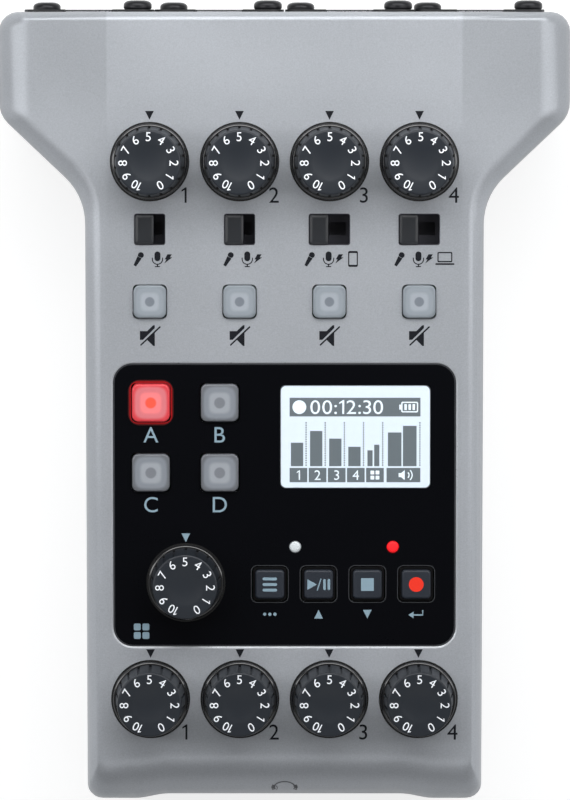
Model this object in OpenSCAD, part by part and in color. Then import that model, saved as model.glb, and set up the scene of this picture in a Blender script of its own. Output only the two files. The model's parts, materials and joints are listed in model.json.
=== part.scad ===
// Podcast recorder: four microphone channels, four phones outputs, sound pads and a display.
// The top deck slopes down to the front. Pieces on the deck are placed in the deck's own frame:
// x across, y along the deck with 0 at its rear edge, z square to the deck with 0 on its surface.

/* [Case] */
// Width across the head, which holds the microphone sockets
head_w = 112; // [111:0.5:118]
// Width of the body
body_w = 78; // [77.5:0.5:84]
// Length of the case along its deck
case_l = 155.5; // [155:0.5:162.5]
// Height of the deck's rear edge above the table
deck_h = 40; // [39.5:0.25:43]
// Forward slope of the deck, in degrees
deck_slope = 4; // [3:0.25:4.5]
// Straight length of the head's sides
head_side_l = 20; // [18:0.5:22]
// Length over which the head narrows to the body
flare_l = 16; // [14:0.5:18]
// Thickness of the side walls and the floor
wall = 2; // [1.8:0.1:2.2]
// Thickness of the deck
deck_t = 2.4; // [2.2:0.1:2.6]
// Depth of the seam between the case halves, below the deck
seam_depth = 11.4; // [11.2:0.1:11.6]

/* [Edges] */
// Rounding of the rear edge
rear_edge = 1.8; // [1:0.1:2.4]
// Rounding of the head's sides
head_edge = 6.5; // [4:0.5:7]
// Rounding of the flared shoulders
flare_edge = 4.5; // [3:0.5:5]
// Rounding of the body's sides
body_edge = 3.3; // [2.5:0.1:3.5]
// Rounding of the front
front_edge = 10; // [8:0.5:10]
// Slope of the head's wings beyond the deck's creases, in degrees
wing_slope = 3; // [0:0.5:4]

/* [Knobs] */
// Distance between the channels' knobs
channel_pitch = 17.5; // [17:0.1:18]
// Diameter of a knob's skirt
knob_d = 15; // [14:0.1:15.4]
// Diameter of a knob's top
knob_top_d = 12.6; // [11.6:0.1:12.8]
// Height of a knob above the deck
knob_h = 8.5; // [7:0.25:10]
// Number of grooves around a knob
knob_grooves = 18; // [12:1:24]
// Distance of the gain knobs from the rear edge
gain_row = 29.1; // [29:0.1:30.5]
// Distance of the phones knobs from the front edge
phones_row = 21.1; // [20.5:0.1:21.5]

/* [Switches and buttons] */
// Share of the deck's spare length that lies between the gain knobs and the input switches
switch_share = 0.12; // [0.1:0.01:0.16]
// Travel of the two-position input switches
short_travel = 2; // [1.5:0.1:2.2]
// Travel of the three-position input switches
long_travel = 4; // [3.4:0.1:4.4]
// Size of an input switch lever across its travel
lever_l = 5.65; // [5:0.05:6]
// Size of an input switch lever along its travel
lever_w = 3.6; // [3:0.1:3.8]
// Share of the deck's spare length that lies between the input switches and the mute buttons
mute_share = 0.41; // [0.36:0.01:0.5]
// Side of a mute button
mute_size = 6.2; // [5.8:0.1:7]
// Side of a sound pad
pad_size = 7.3; // [7:0.1:8]
// Side of a key's raised top
key_size = 5.7; // [5.2:0.1:5.9]
// Distance between the keys
key_pitch = 9.55; // [9.2:0.05:9.6]
// Travel of the buttons, pads and keys
press_travel = 0.5; // [0.3:0.1:0.6]

/* [Display panel] */
// Width of the black panel
panel_w = 67; // [66.5:0.5:68]
// Length of the black panel
panel_l = 55.6; // [55.2:0.2:56]
// Distance of the panel's middle from the front edge
panel_row = 59.3; // [59.1:0.1:59.5]
// Corner radius of the panel
panel_r = 3.8; // [2:0.1:5]
// Width of the display window
display_w = 29.1; // [27:0.1:29.4]
// Length of the display window
display_l = 19.9; // [18:0.1:20.2]

/* [Sockets] */
// Space between the head's sides and the outer microphone sockets
xlr_margin = 5; // [2:0.1:5.2]
// Depth of the microphone sockets' middle below the deck
xlr_drop = 20; // [19.8:0.1:20.4]
// Bore of the phones jacks and the smartphone jack
mini_bore_d = 3.6; // [3.5:0.05:3.7]
// Bore of the output jacks
output_bore_d = 6.5; // [6.4:0.05:6.6]
// Distance between the phones jacks
phones_pitch = 14.5; // [13:0.25:15]

/* [Base] */
// Height of the rubber feet
foot_h = 1.5; // [1:0.1:2]
// Diameter of a rubber foot
foot_d = 10; // [8:0.5:11]
// Rounding of the base's edge
base_edge = 2.5; // [1.5:0.1:3]
// Diameter of a battery cell
cell_d = 14.2; // [13.8:0.1:14.4]
// Length of a battery cell, with its tip
cell_l = 50.3; // [49.5:0.1:50.5]

/* [Hidden] */
$fn = 48;
// Clearance of what moves
gap = 0.25;
// Clearance of what is set into an opening
seat_gap = 0.15;
// Radial clearance of a turning stem
stem_gap = 0.05;
// Extra length that carries a cut through a surface
over = 1;

// Place of the deck's rear edge, so that the origin lies under the middle of the whole object
xlr_flange_t = 0.5;
xlr_screw_x = 9.5;
xlr_screw_z = 12;
xlr_head_h = 1.8;
xlr_head_r = 2.8;
rear_reach = (xlr_flange_t + xlr_head_h) * cos(deck_slope) + (xlr_drop + xlr_screw_z) * sin(deck_slope);
front_reach = case_l * cos(deck_slope) - front_edge * sin(deck_slope);
deck_y = (front_reach - rear_reach) / 2;

// Outline of the case
front_recess_w = 48;
front_recess_run = 4.5;
front_recess_d = 0.9;
front_recess_r = 12;
front_corner_r = 3;
neck_r = 12.5;
shoulder_r = 6;
rear_corner_r = 4;
least_r = 0.4;
crease_x = body_w / 2 - body_edge - 1.1;
recess_steps = 3;
front_crease = 2 * (recess_steps + 1);
crown_steps = 5;
hub_y = -head_side_l - flare_l / 2;

// Levels below the deck
pocket_d = 1.2;
board_top = -11;
board_t = 1.6;
board_under = board_top - board_t;
screw_seat = -16;

// Rows and columns on the deck
channels = [for (i = [0:3]) (i - 1.5) * channel_pitch];
phones_y = phones_row - case_l;
panel_mid = case_l - panel_row;
knob_well_r = knob_d / 2 + gap;
button_flange = 0.6;
row_clear = 0.3;
knob_to_switch = knob_well_r + lever_l / 2 + gap + row_clear;
switch_to_mute = lever_l / 2 + gap + mute_size / 2 + button_flange + row_clear;
mute_to_panel = mute_size / 2 + button_flange + row_clear;
spare_l = panel_mid - panel_l / 2 - gain_row - knob_to_switch - switch_to_mute - mute_to_panel;
switch_row = gain_row + knob_to_switch + switch_share * spare_l;
mute_row = switch_row + switch_to_mute + mute_share * spare_l;
pad_xs = [-26.1, -12.65];
pad_ys = [20.1 - panel_mid, 6.4 - panel_mid];
display_x = 13.85;
display_y = 13.4 - panel_mid;
lens_xs = [2.1, 21.2];
lens_y = -8.2 - panel_mid;
keys_y = -15.5 - panel_mid;
key_xs = [for (i = [0:3]) 11.45 + (i - 1.5) * key_pitch];
pad_knob_x = -19.3;
pad_knob_y = -15.2 - panel_mid;
lens_r = 1.05;

// Knobs and what they turn in
skirt_top = 0.9;
skirt_bottom = -0.7;
knob_well_d = 1;
stem_r = 3;
stem_end = -9.5;
knob_places = concat(
    [for (x = channels) [x, -gain_row]],
    [[pad_knob_x, pad_knob_y]],
    [for (x = channels) [x, phones_y]]
);

// Buttons
button_flange_t = 1;
button_flange_top = -deck_t - gap;
key_skirt = 0.45;
button_rise = 0.9;
tact_size = 6;
tact_top = -7.4;
tact_button_top = -6.9;
button_foot = tact_button_top + press_travel + gap;
button_places = concat(
    [for (x = channels) [x, -mute_row]],
    [for (y = pad_ys) for (x = pad_xs) [x, y]],
    [for (x = key_xs) [x, keys_y]]
);

// Input switches
switch_travel = [short_travel, short_travel, long_travel, long_travel];
lever_foot = -4;
lever_rise = 0.7;
lever_rim = 0.3;
lever_stem = 2;
slide_body_top = -5;
slide_body_w = 12;
slide_body_l = 7;

// Microphone sockets
xlr_pitch = (head_w - 2 * xlr_margin) / 4;
xlr_xs = [for (i = [0:3]) (i - 1.5) * xlr_pitch];
xlr_tube_r = xlr_pitch / 2 - 0.95;
xlr_bore_r = 9.75;
xlr_depth = 21;
xlr_floor = 16;
xlr_insert_r = 7.3;
xlr_flange_w = xlr_pitch - gap;
xlr_flange_h = 31;
latch_w = 8.8;
latch_low = 10.4;
latch_h = 4;
latch_l = 6.75;
latch_travel = 1.5;
latch_box_wall = 0.8;
latch_box_r = latch_w / 2 + gap + latch_box_wall;
latch_box_top = latch_low + latch_h + gap + latch_box_wall;
latch_box_l = latch_l + latch_travel + 1.5;

// Jacks and ports
mini_nose_r = 3;
output_nose_r = 4.9;
phones_xs = [for (i = [0:3]) (i - 1.5) * phones_pitch];
phones_drop = 19;
side_drop = 20;
front_face = front_recess_d - case_l;
side_x = body_w / 2;
smartphone_y = -case_l / 2 - 41.5;
output_ys = [smartphone_y + 32, smartphone_y + 15.5];
card_y = 30.5 - case_l;
power_y = card_y + 42.5;
power_drop = 17;
power_travel = 3;
usb_ys = [card_y + 31, card_y + 20.5];
usb_w = 8.94;
usb_h = 3.26;
usb_l = 7.6;
card_w = 24.4;
card_socket_w = 27;
card_socket_l = 25;
card_socket_h = 3;
cover_l = 29;
cover_h = 5.4;
cover_t = 0.9;
cover_barrel_r = 0.9;
cover_pin_r = 0.5;
cover_axis_z = -17.6;
cover_axis_x = side_x - 0.1 - cover_barrel_r;

// Battery bay, level with the table
bay_y = deck_y - 55.6;
bay_w = cell_l + 7;
bay_l = 2 * cell_d + 1.4;
bay_wall = 1.4;
door_t = 1.6;
door_barrel_r = 1.3;
door_pin_r = 0.7;
door_w = bay_w - 2 * gap;
door_l = bay_l - 2 * gap;
cell_z = foot_h + door_t + gap + cell_d / 2;
bay_top = cell_z + cell_d / 2 + gap;
door_axis_y = bay_y + bay_l / 2 - gap - door_barrel_r;
door_axis_z = foot_h + door_barrel_r;
contact_t = 0.4;

// Screws and feet
post_r = 2.8;
screw_r = 1.25;
screw_hole_r = 1.35;
screw_head_r = 2.5;
screw_head_h = 1.6;
screw_end = -5;
tube_r = 4.2;
rear_post_x = head_w / 2 - 15;
side_post_x = body_w / 2 - 5;
front_post_x = body_w / 2 - 6.5;
post_places = [
    [-rear_post_x, -25.6], [rear_post_x, -25.6],
    [-side_post_x, output_ys[0] + 17], [side_post_x, power_y + 12],
    [-front_post_x, 12 - case_l], [front_post_x, 12 - case_l]
];
rear_foot = [head_w / 2 - 11, deck_y - 12.85];
front_foot = [body_w / 2 - 11, deck_y - case_l + 24.15];
foot_places = [for (p = [rear_foot, front_foot]) for (side = [-1, 1]) [side * p.x, p.y]];

// Height of the base plane, measured in the deck's frame, at a place along the deck
function base_level(y) = (foot_h - deck_h - y * sin(deck_slope)) / cos(deck_slope);

function unit(v) = v / norm(v);

// Drop of the wings at a distance from the middle
function wing_drop(x) = max(0, abs(x) - crease_x) * tan(wing_slope);

// Where two edges meet after each has moved in along its own normal
function inset_point(p, n1, d1, n2, d2) =
    let (det = n1.x * n2.y - n1.y * n2.x)
    p - [(d1 * n2.y - d2 * n1.y) / det, (n1.x * d2 - n2.x * d1) / det];

// Arc that rounds one corner of an outline
function corner_arc(before, at, after, r, steps) =
    let (
        back = unit(before - at),
        ahead = unit(after - at),
        half = acos(back * ahead) / 2,
        mid = at + unit(back + ahead) * r / sin(half),
        first = at + back * r / tan(half) - mid,
        last = at + ahead * r / tan(half) - mid,
        start = atan2(first.y, first.x),
        turn = atan2(first.x * last.y - first.y * last.x, first * last)
    )
    [for (i = [0:steps]) mid + r * [cos(start + turn * i / steps), sin(start + turn * i / steps)]];

// Corners of the right half as [point, radius, steps], each edge moved in by its own distance
function right_corners(front, body, flare, head, rear) =
    let (
        neck = [body_w / 2, -head_side_l - flare_l],
        shoulder = [head_w / 2, -head_side_l],
        along = unit(shoulder - neck),
        out = [along.y, -along.x]
    )
    [
        [[front_recess_w / 2, front_recess_d - case_l + front], front_recess_r, recess_steps],
        [[front_recess_w / 2 + front_recess_run, front - case_l], front_recess_r, recess_steps],
        [[crease_x, front - case_l], 0, 0],
        [
            inset_point([body_w / 2, -case_l], [0, -1], front, [1, 0], body),
            max(front_corner_r - body, least_r),
            5
        ],
        [inset_point(neck, [1, 0], body, out, flare), neck_r + body, 7],
        [inset_point(shoulder, out, flare, [1, 0], head), max(shoulder_r - flare, least_r), 4],
        [inset_point([head_w / 2, 0], [1, 0], head, [0, 1], rear), max(rear_corner_r - head, least_r), 5],
        [[crease_x, -rear], 0, 0]
    ];

// Closed outline of the case, counter-clockwise from the front recess
function outline(front, body, flare, head, rear) =
    let (
        right = right_corners(front, body, flare, head, rear),
        n = len(right),
        left = [for (i = [n - 1:-1:0]) [[-right[i][0].x, right[i][0].y], right[i][1], right[i][2]]],
        all = concat(right, left),
        m = 2 * n
    )
    [
        for (i = [0:m - 1])
            each all[i][2] == 0
                ? [all[i][0]]
                : corner_arc(all[(i + m - 1) % m][0], all[i][0], all[(i + 1) % m][0], all[i][1], all[i][2])
    ];

function even_outline(inset) = outline(inset, inset, inset, inset, inset);

// Rings of a shell that curves in from its outer outline to its crown
function crown_rings(outer, crown, top, bottom, steps) = concat(
    [[for (p = outer) [p.x, p.y, bottom]]],
    [
        for (k = [0:steps])
            let (up = 90 * k / steps)
            [
                for (i = [0:len(outer) - 1])
                    let (
                        p = crown[i] + (outer[i] - crown[i]) * cos(up),
                        drop = norm(outer[i] - crown[i]) * (1 - sin(up))
                    )
                    [p.x, p.y, top - wing_drop(p.x) - drop]
            ]
    ]
);

// Rings of the lower shell, from the base plane up to the seam
function base_rings(outer, inner, edge, top, steps) = concat(
    [
        for (k = [0:steps])
            let (up = 90 * k / steps)
            [
                for (i = [0:len(outer) - 1])
                    let (p = inner[i] + (outer[i] - inner[i]) * sin(up))
                    [p.x, p.y, base_level(p.y) + edge * (1 - cos(up))]
            ]
    ],
    [[for (p = outer) [p.x, p.y, top]]]
);

// Solid skin over a stack of rings, its top split along the deck's two creases.
// Each end face starts at a point that sees all of the face, the lower one at its hub.
module loft(rings, hub_z) {
    n = len(rings[0]);
    top = len(rings) - 1;
    rear_right = n / 2 - 1;
    rear_left = n / 2;
    front_left = n - 1 - front_crease;
    middle = concat(
        [rear_right],
        [for (i = [front_crease:-1:0]) i],
        [for (i = [n - 1:-1:front_left]) i],
        [rear_left]
    );
    right_wing = [for (i = [rear_right:-1:front_crease]) i];
    left_wing = concat([rear_left], [for (i = [front_left:-1:rear_left + 1]) i]);
    polyhedron(
        points = concat([for (ring = rings) each ring], [[0, hub_y, hub_z]]),
        faces = concat(
            [for (i = [0:n - 1]) [(top + 1) * n, i, (i + 1) % n]],
            [for (k = [0:top - 1]) for (i = [0:n - 1])
                [k * n + i, (k + 1) * n + i, (k + 1) * n + (i + 1) % n]],
            [for (k = [0:top - 1]) for (i = [0:n - 1])
                [k * n + i, (k + 1) * n + (i + 1) % n, k * n + (i + 1) % n]],
            [for (face = [middle, right_wing, left_wing]) [for (i = face) top * n + i]]
        ),
        convexity = 6
    );
}

// Children placed in the deck's frame
module on_deck(place = [0, 0, 0]) {
    translate([0, deck_y, deck_h])
        rotate([deck_slope, 0, 0])
            translate(place)
                children();
}

// Children turned to point out of the rear, with z to the front
module at_rear(x, z) {
    translate([x, 0, z])
        rotate([90, 0, 0])
            children();
}

// Children turned to point into the left side
module at_left(y, z) {
    translate([-side_x, y, z])
        rotate([90, 0, 90])
            children();
}

// Children turned to point into the right side
module at_right(y, z) {
    translate([side_x, y, z])
        rotate([90, 0, -90])
            children();
}

// Children turned to point into the front
module at_front(x, z) {
    translate([x, front_face, z])
        rotate([90, 0, 180])
            children();
}

module rounded_plate(w, l, r, h) {
    linear_extrude(h) {
        square([w - 2 * r, l], center = true);
        square([w, l - 2 * r], center = true);
        for (x = [-1, 1])
            for (y = [-1, 1])
                translate([x * (w / 2 - r), y * (l / 2 - r)])
                    circle(r);
    }
}

// Openings that the microphone sockets need in the rear walls
module xlr_cuts() {
    for (x = xlr_xs)
        at_rear(x, -xlr_drop) {
            translate([0, 0, -over])
                linear_extrude(wall + 2 * over) {
                    circle(xlr_tube_r + seat_gap);
                    translate([-latch_box_r - seat_gap, 0])
                        square([2 * (latch_box_r + seat_gap), latch_box_top + seat_gap]);
                }
            for (side = [-1, 1])
                translate([side * xlr_screw_x, side * xlr_screw_z, -over])
                    cylinder(r = screw_hole_r, h = wall + 2 * over);
        }
}

module case_crown() {
    loft(crown_rings(
        even_outline(0),
        outline(front_edge, body_edge, flare_edge, head_edge, rear_edge),
        0, -seam_depth, crown_steps
    ), -seam_depth);
}

module crown_hollow() {
    loft(crown_rings(
        even_outline(wall),
        outline(front_edge + 0.5, body_edge + 0.5, flare_edge + 0.5, head_edge + 0.5, rear_edge + 1.6),
        -deck_t, -seam_depth - over, 2
    ), -seam_depth - over);
}

module top_case() {
    color([0.68, 0.70, 0.73])
        on_deck()
            difference() {
                union() {
                    difference() {
                        case_crown();
                        crown_hollow();
                    }
                    for (p = post_places)
                        translate([p.x, p.y, board_top])
                            cylinder(r = post_r, h = -board_top - deck_t / 2);
                }
                for (p = post_places)
                    translate([p.x, p.y, board_top - over])
                        cylinder(r = screw_hole_r, h = screw_end - board_top + 2 * over);
                deck_cuts();
                xlr_cuts();
            }
}

// Wells, slots and holes in the deck
module deck_cuts() {
    through = deck_t + over;
    for (p = knob_places) {
        translate([p.x, p.y, -knob_well_d])
            cylinder(r = knob_well_r, h = knob_well_d + over);
        translate([p.x, p.y, -through])
            cylinder(r = stem_r + 2 * gap, h = through);
    }
    for (i = [0:3])
        translate([channels[i], -switch_row, -through])
            rounded_plate(lever_w + switch_travel[i] + 2 * gap, lever_l + 2 * gap, 0.5, through + over);
    for (x = channels)
        translate([x, -mute_row, -through])
            rounded_plate(mute_size + 2 * gap, mute_size + 2 * gap, 1, through + over);
    translate([0, -panel_mid, -pocket_d])
        rounded_plate(panel_w + 2 * seat_gap, panel_l + 2 * seat_gap, panel_r + seat_gap, pocket_d + over);
    for (y = pad_ys)
        for (x = pad_xs)
            translate([x, y, -through])
                rounded_plate(pad_size + 2 * gap, pad_size + 2 * gap, 1, through);
    for (x = key_xs)
        translate([x, keys_y, -through])
            rounded_plate(key_size + 2 * (key_skirt + gap), key_size + 2 * (key_skirt + gap), 0.8, through);
    for (x = lens_xs)
        translate([x, lens_y, -through])
            cylinder(r = lens_r + seat_gap, h = through);
    translate([display_x, display_y, -through])
        rounded_plate(display_w - 2, display_l - 2, 0.8, through);
}

module display_panel() {
    z = -pocket_d - over;
    color([0.02, 0.02, 0.04])
        on_deck()
            difference() {
                translate([0, -panel_mid, -pocket_d])
                    rounded_plate(panel_w, panel_l, panel_r, pocket_d - 0.05);
                for (y = pad_ys)
                    for (x = pad_xs)
                        translate([x, y, z])
                            rounded_plate(pad_size + 2 * gap, pad_size + 2 * gap, 1, 2 * over + pocket_d);
                for (x = key_xs)
                    translate([x, keys_y, z])
                        rounded_plate(
                            key_size + 2 * (key_skirt + gap), key_size + 2 * (key_skirt + gap),
                            0.8, 2 * over + pocket_d
                        );
                for (x = lens_xs)
                    translate([x, lens_y, z])
                        cylinder(r = lens_r + seat_gap, h = 2 * over + pocket_d);
                translate([pad_knob_x, pad_knob_y, z])
                    cylinder(r = knob_well_r, h = 2 * over + pocket_d);
                translate([display_x, display_y, z])
                    rounded_plate(display_w + 2 * seat_gap, display_l + 2 * seat_gap, 1, 2 * over + pocket_d);
            }
}

module display_window() {
    color([0.85, 0.90, 0.95])
        on_deck([display_x, display_y, -pocket_d])
            rounded_plate(display_w, display_l, 1, pocket_d - 0.1);
}

module lcd_module() {
    frame_w = display_w + 4;
    frame_l = display_l + 4;
    top = -deck_t - seat_gap;
    t = 2.8;
    color([0.80, 0.85, 0.90])
        on_deck([display_x, display_y, 0]) {
            translate([-frame_w / 2, -frame_l / 2, top - t])
                cube([frame_w, frame_l, t]);
            for (x = [-1, 1])
                for (y = [-1, 1])
                    translate([x * (frame_w / 2 - 1), y * (frame_l / 2 - 1), board_top])
                        cylinder(r = 0.8, h = top - t / 2 - board_top);
        }
}

module led_lens(i) {
    on_deck([lens_xs[i], lens_y, 0])
        rotate_extrude()
            polygon([
                [0, board_top], [lens_r - 0.2, board_top], [lens_r - 0.2, -4], [lens_r + 0.6, -4],
                [lens_r + 0.6, -deck_t - seat_gap], [lens_r, -deck_t - seat_gap], [lens_r, -0.1],
                [lens_r * 0.7, 0.1], [0, 0.2]
            ]);
}

module power_led_lens() {
    color([0.95, 0.96, 0.98])
        led_lens(0);
}

module record_led_lens() {
    color([0.9, 0.15, 0.1])
        led_lens(1);
}

// Knob with a skirt, a grooved barrel, a dished top and a flatted stem
module knob(place) {
    skirt_r = knob_d / 2;
    top_r = knob_top_d / 2;
    foot_r = top_r + 0.55;
    dish_r = top_r * 0.62;
    dish_d = 0.35;
    dish_ball = (dish_r * dish_r + dish_d * dish_d) / (2 * dish_d);
    groove_tilt = atan((foot_r - top_r) / (knob_h - skirt_top));
    color([0.16, 0.17, 0.19])
        on_deck([place.x, place.y, 0])
            difference() {
                union() {
                    rotate_extrude()
                        polygon([
                            [0, skirt_bottom], [skirt_r, skirt_bottom], [skirt_r, 0.3], [skirt_r - 0.25, 0.6],
                            [foot_r, skirt_top], [top_r + 0.04, knob_h - 0.5], [top_r - 0.1, knob_h - 0.15],
                            [top_r - 0.45, knob_h], [0, knob_h]
                        ]);
                    difference() {
                        translate([0, 0, stem_end])
                            cylinder(r = stem_r, h = skirt_bottom - stem_end);
                        translate([-stem_r, stem_r - 1, stem_end - over])
                            cube([2 * stem_r, 2, skirt_bottom - stem_end - 2]);
                    }
                }
                translate([0, 0, knob_h - dish_d + dish_ball])
                    sphere(dish_ball);
                for (i = [0:knob_grooves - 1])
                    rotate([0, 0, (i + 0.5) * 360 / knob_grooves])
                        translate([foot_r + 0.05, 0, skirt_top + 0.25])
                            rotate([0, -groove_tilt, 0])
                                translate([-0.3, -0.3, 0])
                                    cube([2, 0.6, knob_h]);
            }
}

module gain_knob_1() { knob(knob_places[0]); }
module gain_knob_2() { knob(knob_places[1]); }
module gain_knob_3() { knob(knob_places[2]); }
module gain_knob_4() { knob(knob_places[3]); }
module pad_level_knob() { knob(knob_places[4]); }
module phones_knob_1() { knob(knob_places[5]); }
module phones_knob_2() { knob(knob_places[6]); }
module phones_knob_3() { knob(knob_places[7]); }
module phones_knob_4() { knob(knob_places[8]); }

module potentiometers() {
    body_top = -6.4;
    color([0.35, 0.36, 0.38])
        for (p = knob_places)
            on_deck([p.x, p.y, 0])
                difference() {
                    union() {
                        translate([-4.9, -5.5, board_top])
                            cube([9.8, 11, body_top - board_top]);
                        translate([0, 0, body_top])
                            cylinder(r = 4.2, h = 1.8);
                    }
                    translate([0, 0, stem_end - 0.3])
                        cylinder(r = stem_r + stem_gap, h = 8);
                }
}

// Slide switch lever, drawn at the left end of its travel
module lever(i) {
    color([0.10, 0.10, 0.11])
        on_deck([channels[i] - switch_travel[i] / 2, -switch_row, 0]) {
            translate([0, 0, lever_foot])
                rounded_plate(lever_w, lever_l, 0.4, lever_rise - lever_rim - lever_foot);
            translate([0, 0, lever_foot])
                rounded_plate(lever_w - 2 * lever_rim, lever_l - 2 * lever_rim, 0.2, lever_rise - lever_foot);
            translate([-lever_stem / 2, -lever_stem / 2, lever_foot - 3])
                cube([lever_stem, lever_stem, 4]);
        }
}

module input_switch_1() { lever(0); }
module input_switch_2() { lever(1); }
module input_switch_3() { lever(2); }
module input_switch_4() { lever(3); }

module slide_switches() {
    color([0.07, 0.07, 0.08])
        for (i = [0:3])
            on_deck([channels[i], -switch_row, 0]) {
                slot_w = lever_stem + switch_travel[i] + 2 * gap;
                slot_l = lever_stem + 2 * gap;
                difference() {
                    translate([-slide_body_w / 2, -slide_body_l / 2, board_top])
                        cube([slide_body_w, slide_body_l, slide_body_top - board_top]);
                    translate([-slot_w / 2, -slot_l / 2, lever_foot - 3 - gap])
                        cube([slot_w, slot_l, 6]);
                }
            }
}

// Button with a rounded top, a retaining flange under the deck and a foot over its tact switch
module button(place, size, r, rise) {
    on_deck([place.x, place.y, 0]) {
        translate([0, 0, button_flange_top - button_flange_t / 2])
            rounded_plate(size, size, r, rise - 0.2 - button_flange_top + button_flange_t / 2);
        translate([0, 0, rise - 0.2])
            rounded_plate(size - 0.5, size - 0.5, r - 0.2, 0.2);
        translate([0, 0, button_flange_top - button_flange_t])
            rounded_plate(size + 2 * button_flange, size + 2 * button_flange, r, button_flange_t);
        translate([0, 0, button_foot])
            cylinder(r = 1.6, h = button_flange_top - button_flange_t / 2 - button_foot);
    }
}

module mute_button(i) {
    color([0.62, 0.63, 0.64])
        button([channels[i], -mute_row], mute_size, 0.9, button_rise);
}

module mute_button_1() { mute_button(0); }
module mute_button_2() { mute_button(1); }
module mute_button_3() { mute_button(2); }
module mute_button_4() { mute_button(3); }

module sound_pad(column, row, tint) {
    color(tint)
        button([pad_xs[column], pad_ys[row]], pad_size, 0.9, button_rise);
}

module sound_pad_a() { sound_pad(0, 0, [0.93, 0.30, 0.34]); }
module sound_pad_b() { sound_pad(1, 0, [0.60, 0.60, 0.62]); }
module sound_pad_c() { sound_pad(0, 1, [0.60, 0.60, 0.62]); }
module sound_pad_d() { sound_pad(1, 1, [0.60, 0.60, 0.62]); }

// Key with a raised top on a wider skirt that fills its opening in the panel
module key(i) {
    skirt = key_size + 2 * key_skirt;
    color([0.14, 0.15, 0.17]) {
        button([key_xs[i], keys_y], key_size, 0.7, button_rise);
        on_deck([key_xs[i], keys_y, button_flange_top - button_flange_t / 2])
            rounded_plate(skirt, skirt, 0.8, 0.05 - button_flange_top + button_flange_t / 2);
    }
}

module menu_key() { key(0); }
module play_key() { key(1); }
module stop_key() { key(2); }
module record_key() { key(3); }

module tact_switches() {
    color([0.25, 0.25, 0.27])
        for (p = button_places)
            on_deck([p.x, p.y, 0]) {
                translate([-tact_size / 2, -tact_size / 2, board_top])
                    cube([tact_size, tact_size, tact_top - board_top]);
                translate([0, 0, tact_top])
                    cylinder(r = 1.7, h = tact_button_top - tact_top);
            }
}

// Board that follows the inside of the case, from behind the microphone sockets to the front
module main_board() {
    rear = -xlr_depth - 1.5;
    front = 3.5 - case_l;
    color([0.10, 0.30, 0.18])
        on_deck([0, 0, board_under])
            difference() {
                intersection() {
                    linear_extrude(board_t)
                        polygon(even_outline(wall + 0.8));
                    translate([-head_w / 2, front, -over])
                        cube([head_w, rear - front, board_t + 2 * over]);
                }
                for (p = post_places)
                    translate([p.x, p.y, -over])
                        cylinder(r = screw_hole_r + 0.2, h = board_t + 2 * over);
            }
}

module xlr_shells() {
    color([0.12, 0.12, 0.13])
        for (x = xlr_xs)
            on_deck()
                at_rear(x, -xlr_drop)
                    difference() {
                        union() {
                            cylinder(r = xlr_tube_r, h = xlr_depth);
                            translate([-latch_box_r, xlr_bore_r - 2, 0])
                                cube([2 * latch_box_r, latch_box_top - xlr_bore_r + 2, latch_box_l]);
                            translate([0, 0, -xlr_flange_t])
                                rounded_plate(xlr_flange_w, xlr_flange_h, 3, xlr_flange_t);
                        }
                        translate([0, 0, -over])
                            cylinder(r = xlr_bore_r, h = xlr_floor + over);
                        translate([-latch_w / 2 - gap, latch_low - gap, -over])
                            cube([latch_w + 2 * gap, latch_h + 2 * gap, latch_l + latch_travel + 2 * gap + over]);
                        translate([-latch_w / 2 - gap, latch_low - gap, -over])
                            cube([latch_w + 2 * gap, 10, over]);
                        for (side = [-1, 1])
                            translate([side * xlr_screw_x, side * xlr_screw_z, -over])
                                cylinder(r = 1.6, h = over + 0.1);
                    }
}

module xlr_inserts() {
    contact_ring = 4.4;
    color([0.20, 0.20, 0.21])
        for (x = xlr_xs)
            on_deck()
                at_rear(x, -xlr_drop)
                    difference() {
                        translate([0, 0, 0.8])
                            cylinder(r = xlr_insert_r, h = xlr_floor - 0.8);
                        for (turn = [35, 145, 270])
                            rotate([0, 0, turn])
                                translate([contact_ring, 0, -over])
                                    cylinder(r = 1.3, h = 13 + over);
                        translate([-0.9, xlr_insert_r - 1.2, -over])
                            cube([1.8, 3, 11 + over]);
                    }
}

module latch(i) {
    color([0.55, 0.56, 0.58])
        on_deck()
            at_rear(xlr_xs[i], -xlr_drop)
                difference() {
                    translate([-latch_w / 2, latch_low, -0.25])
                        cube([latch_w, latch_h, latch_l]);
                    for (y = [1, 2, 3])
                        translate([-latch_w / 2 + 0.8, latch_low + y - 0.2, -0.25 - over])
                            cube([latch_w - 1.6, 0.4, over + 0.2]);
                }
}

module xlr_latch_1() { latch(0); }
module xlr_latch_2() { latch(1); }
module xlr_latch_3() { latch(2); }
module xlr_latch_4() { latch(3); }

module xlr_screws() {
    shank = 7;
    color([0.08, 0.08, 0.09])
        for (x = xlr_xs)
            for (side = [-1, 1])
                on_deck()
                    at_rear(x + side * xlr_screw_x, side * xlr_screw_z - xlr_drop)
                        translate([0, 0, -xlr_flange_t])
                            difference() {
                                rotate_extrude()
                                    polygon([
                                        [0, shank], [screw_r - 0.4, shank], [screw_r, shank - 1], [screw_r, 0],
                                        [xlr_head_r - 0.2, 0], [xlr_head_r, -0.3], [xlr_head_r, 0.9 - xlr_head_h],
                                        [xlr_head_r - 0.2, 0.5 - xlr_head_h], [xlr_head_r - 0.6, 0.2 - xlr_head_h],
                                        [xlr_head_r - 1.2, -xlr_head_h], [0, -xlr_head_h]
                                    ]);
                                for (turn = [0, 90])
                                    rotate([0, 0, turn])
                                        translate([-1.4, -0.35, -xlr_head_h - over])
                                            cube([2.8, 0.7, over + 0.7]);
                            }
}

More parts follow.
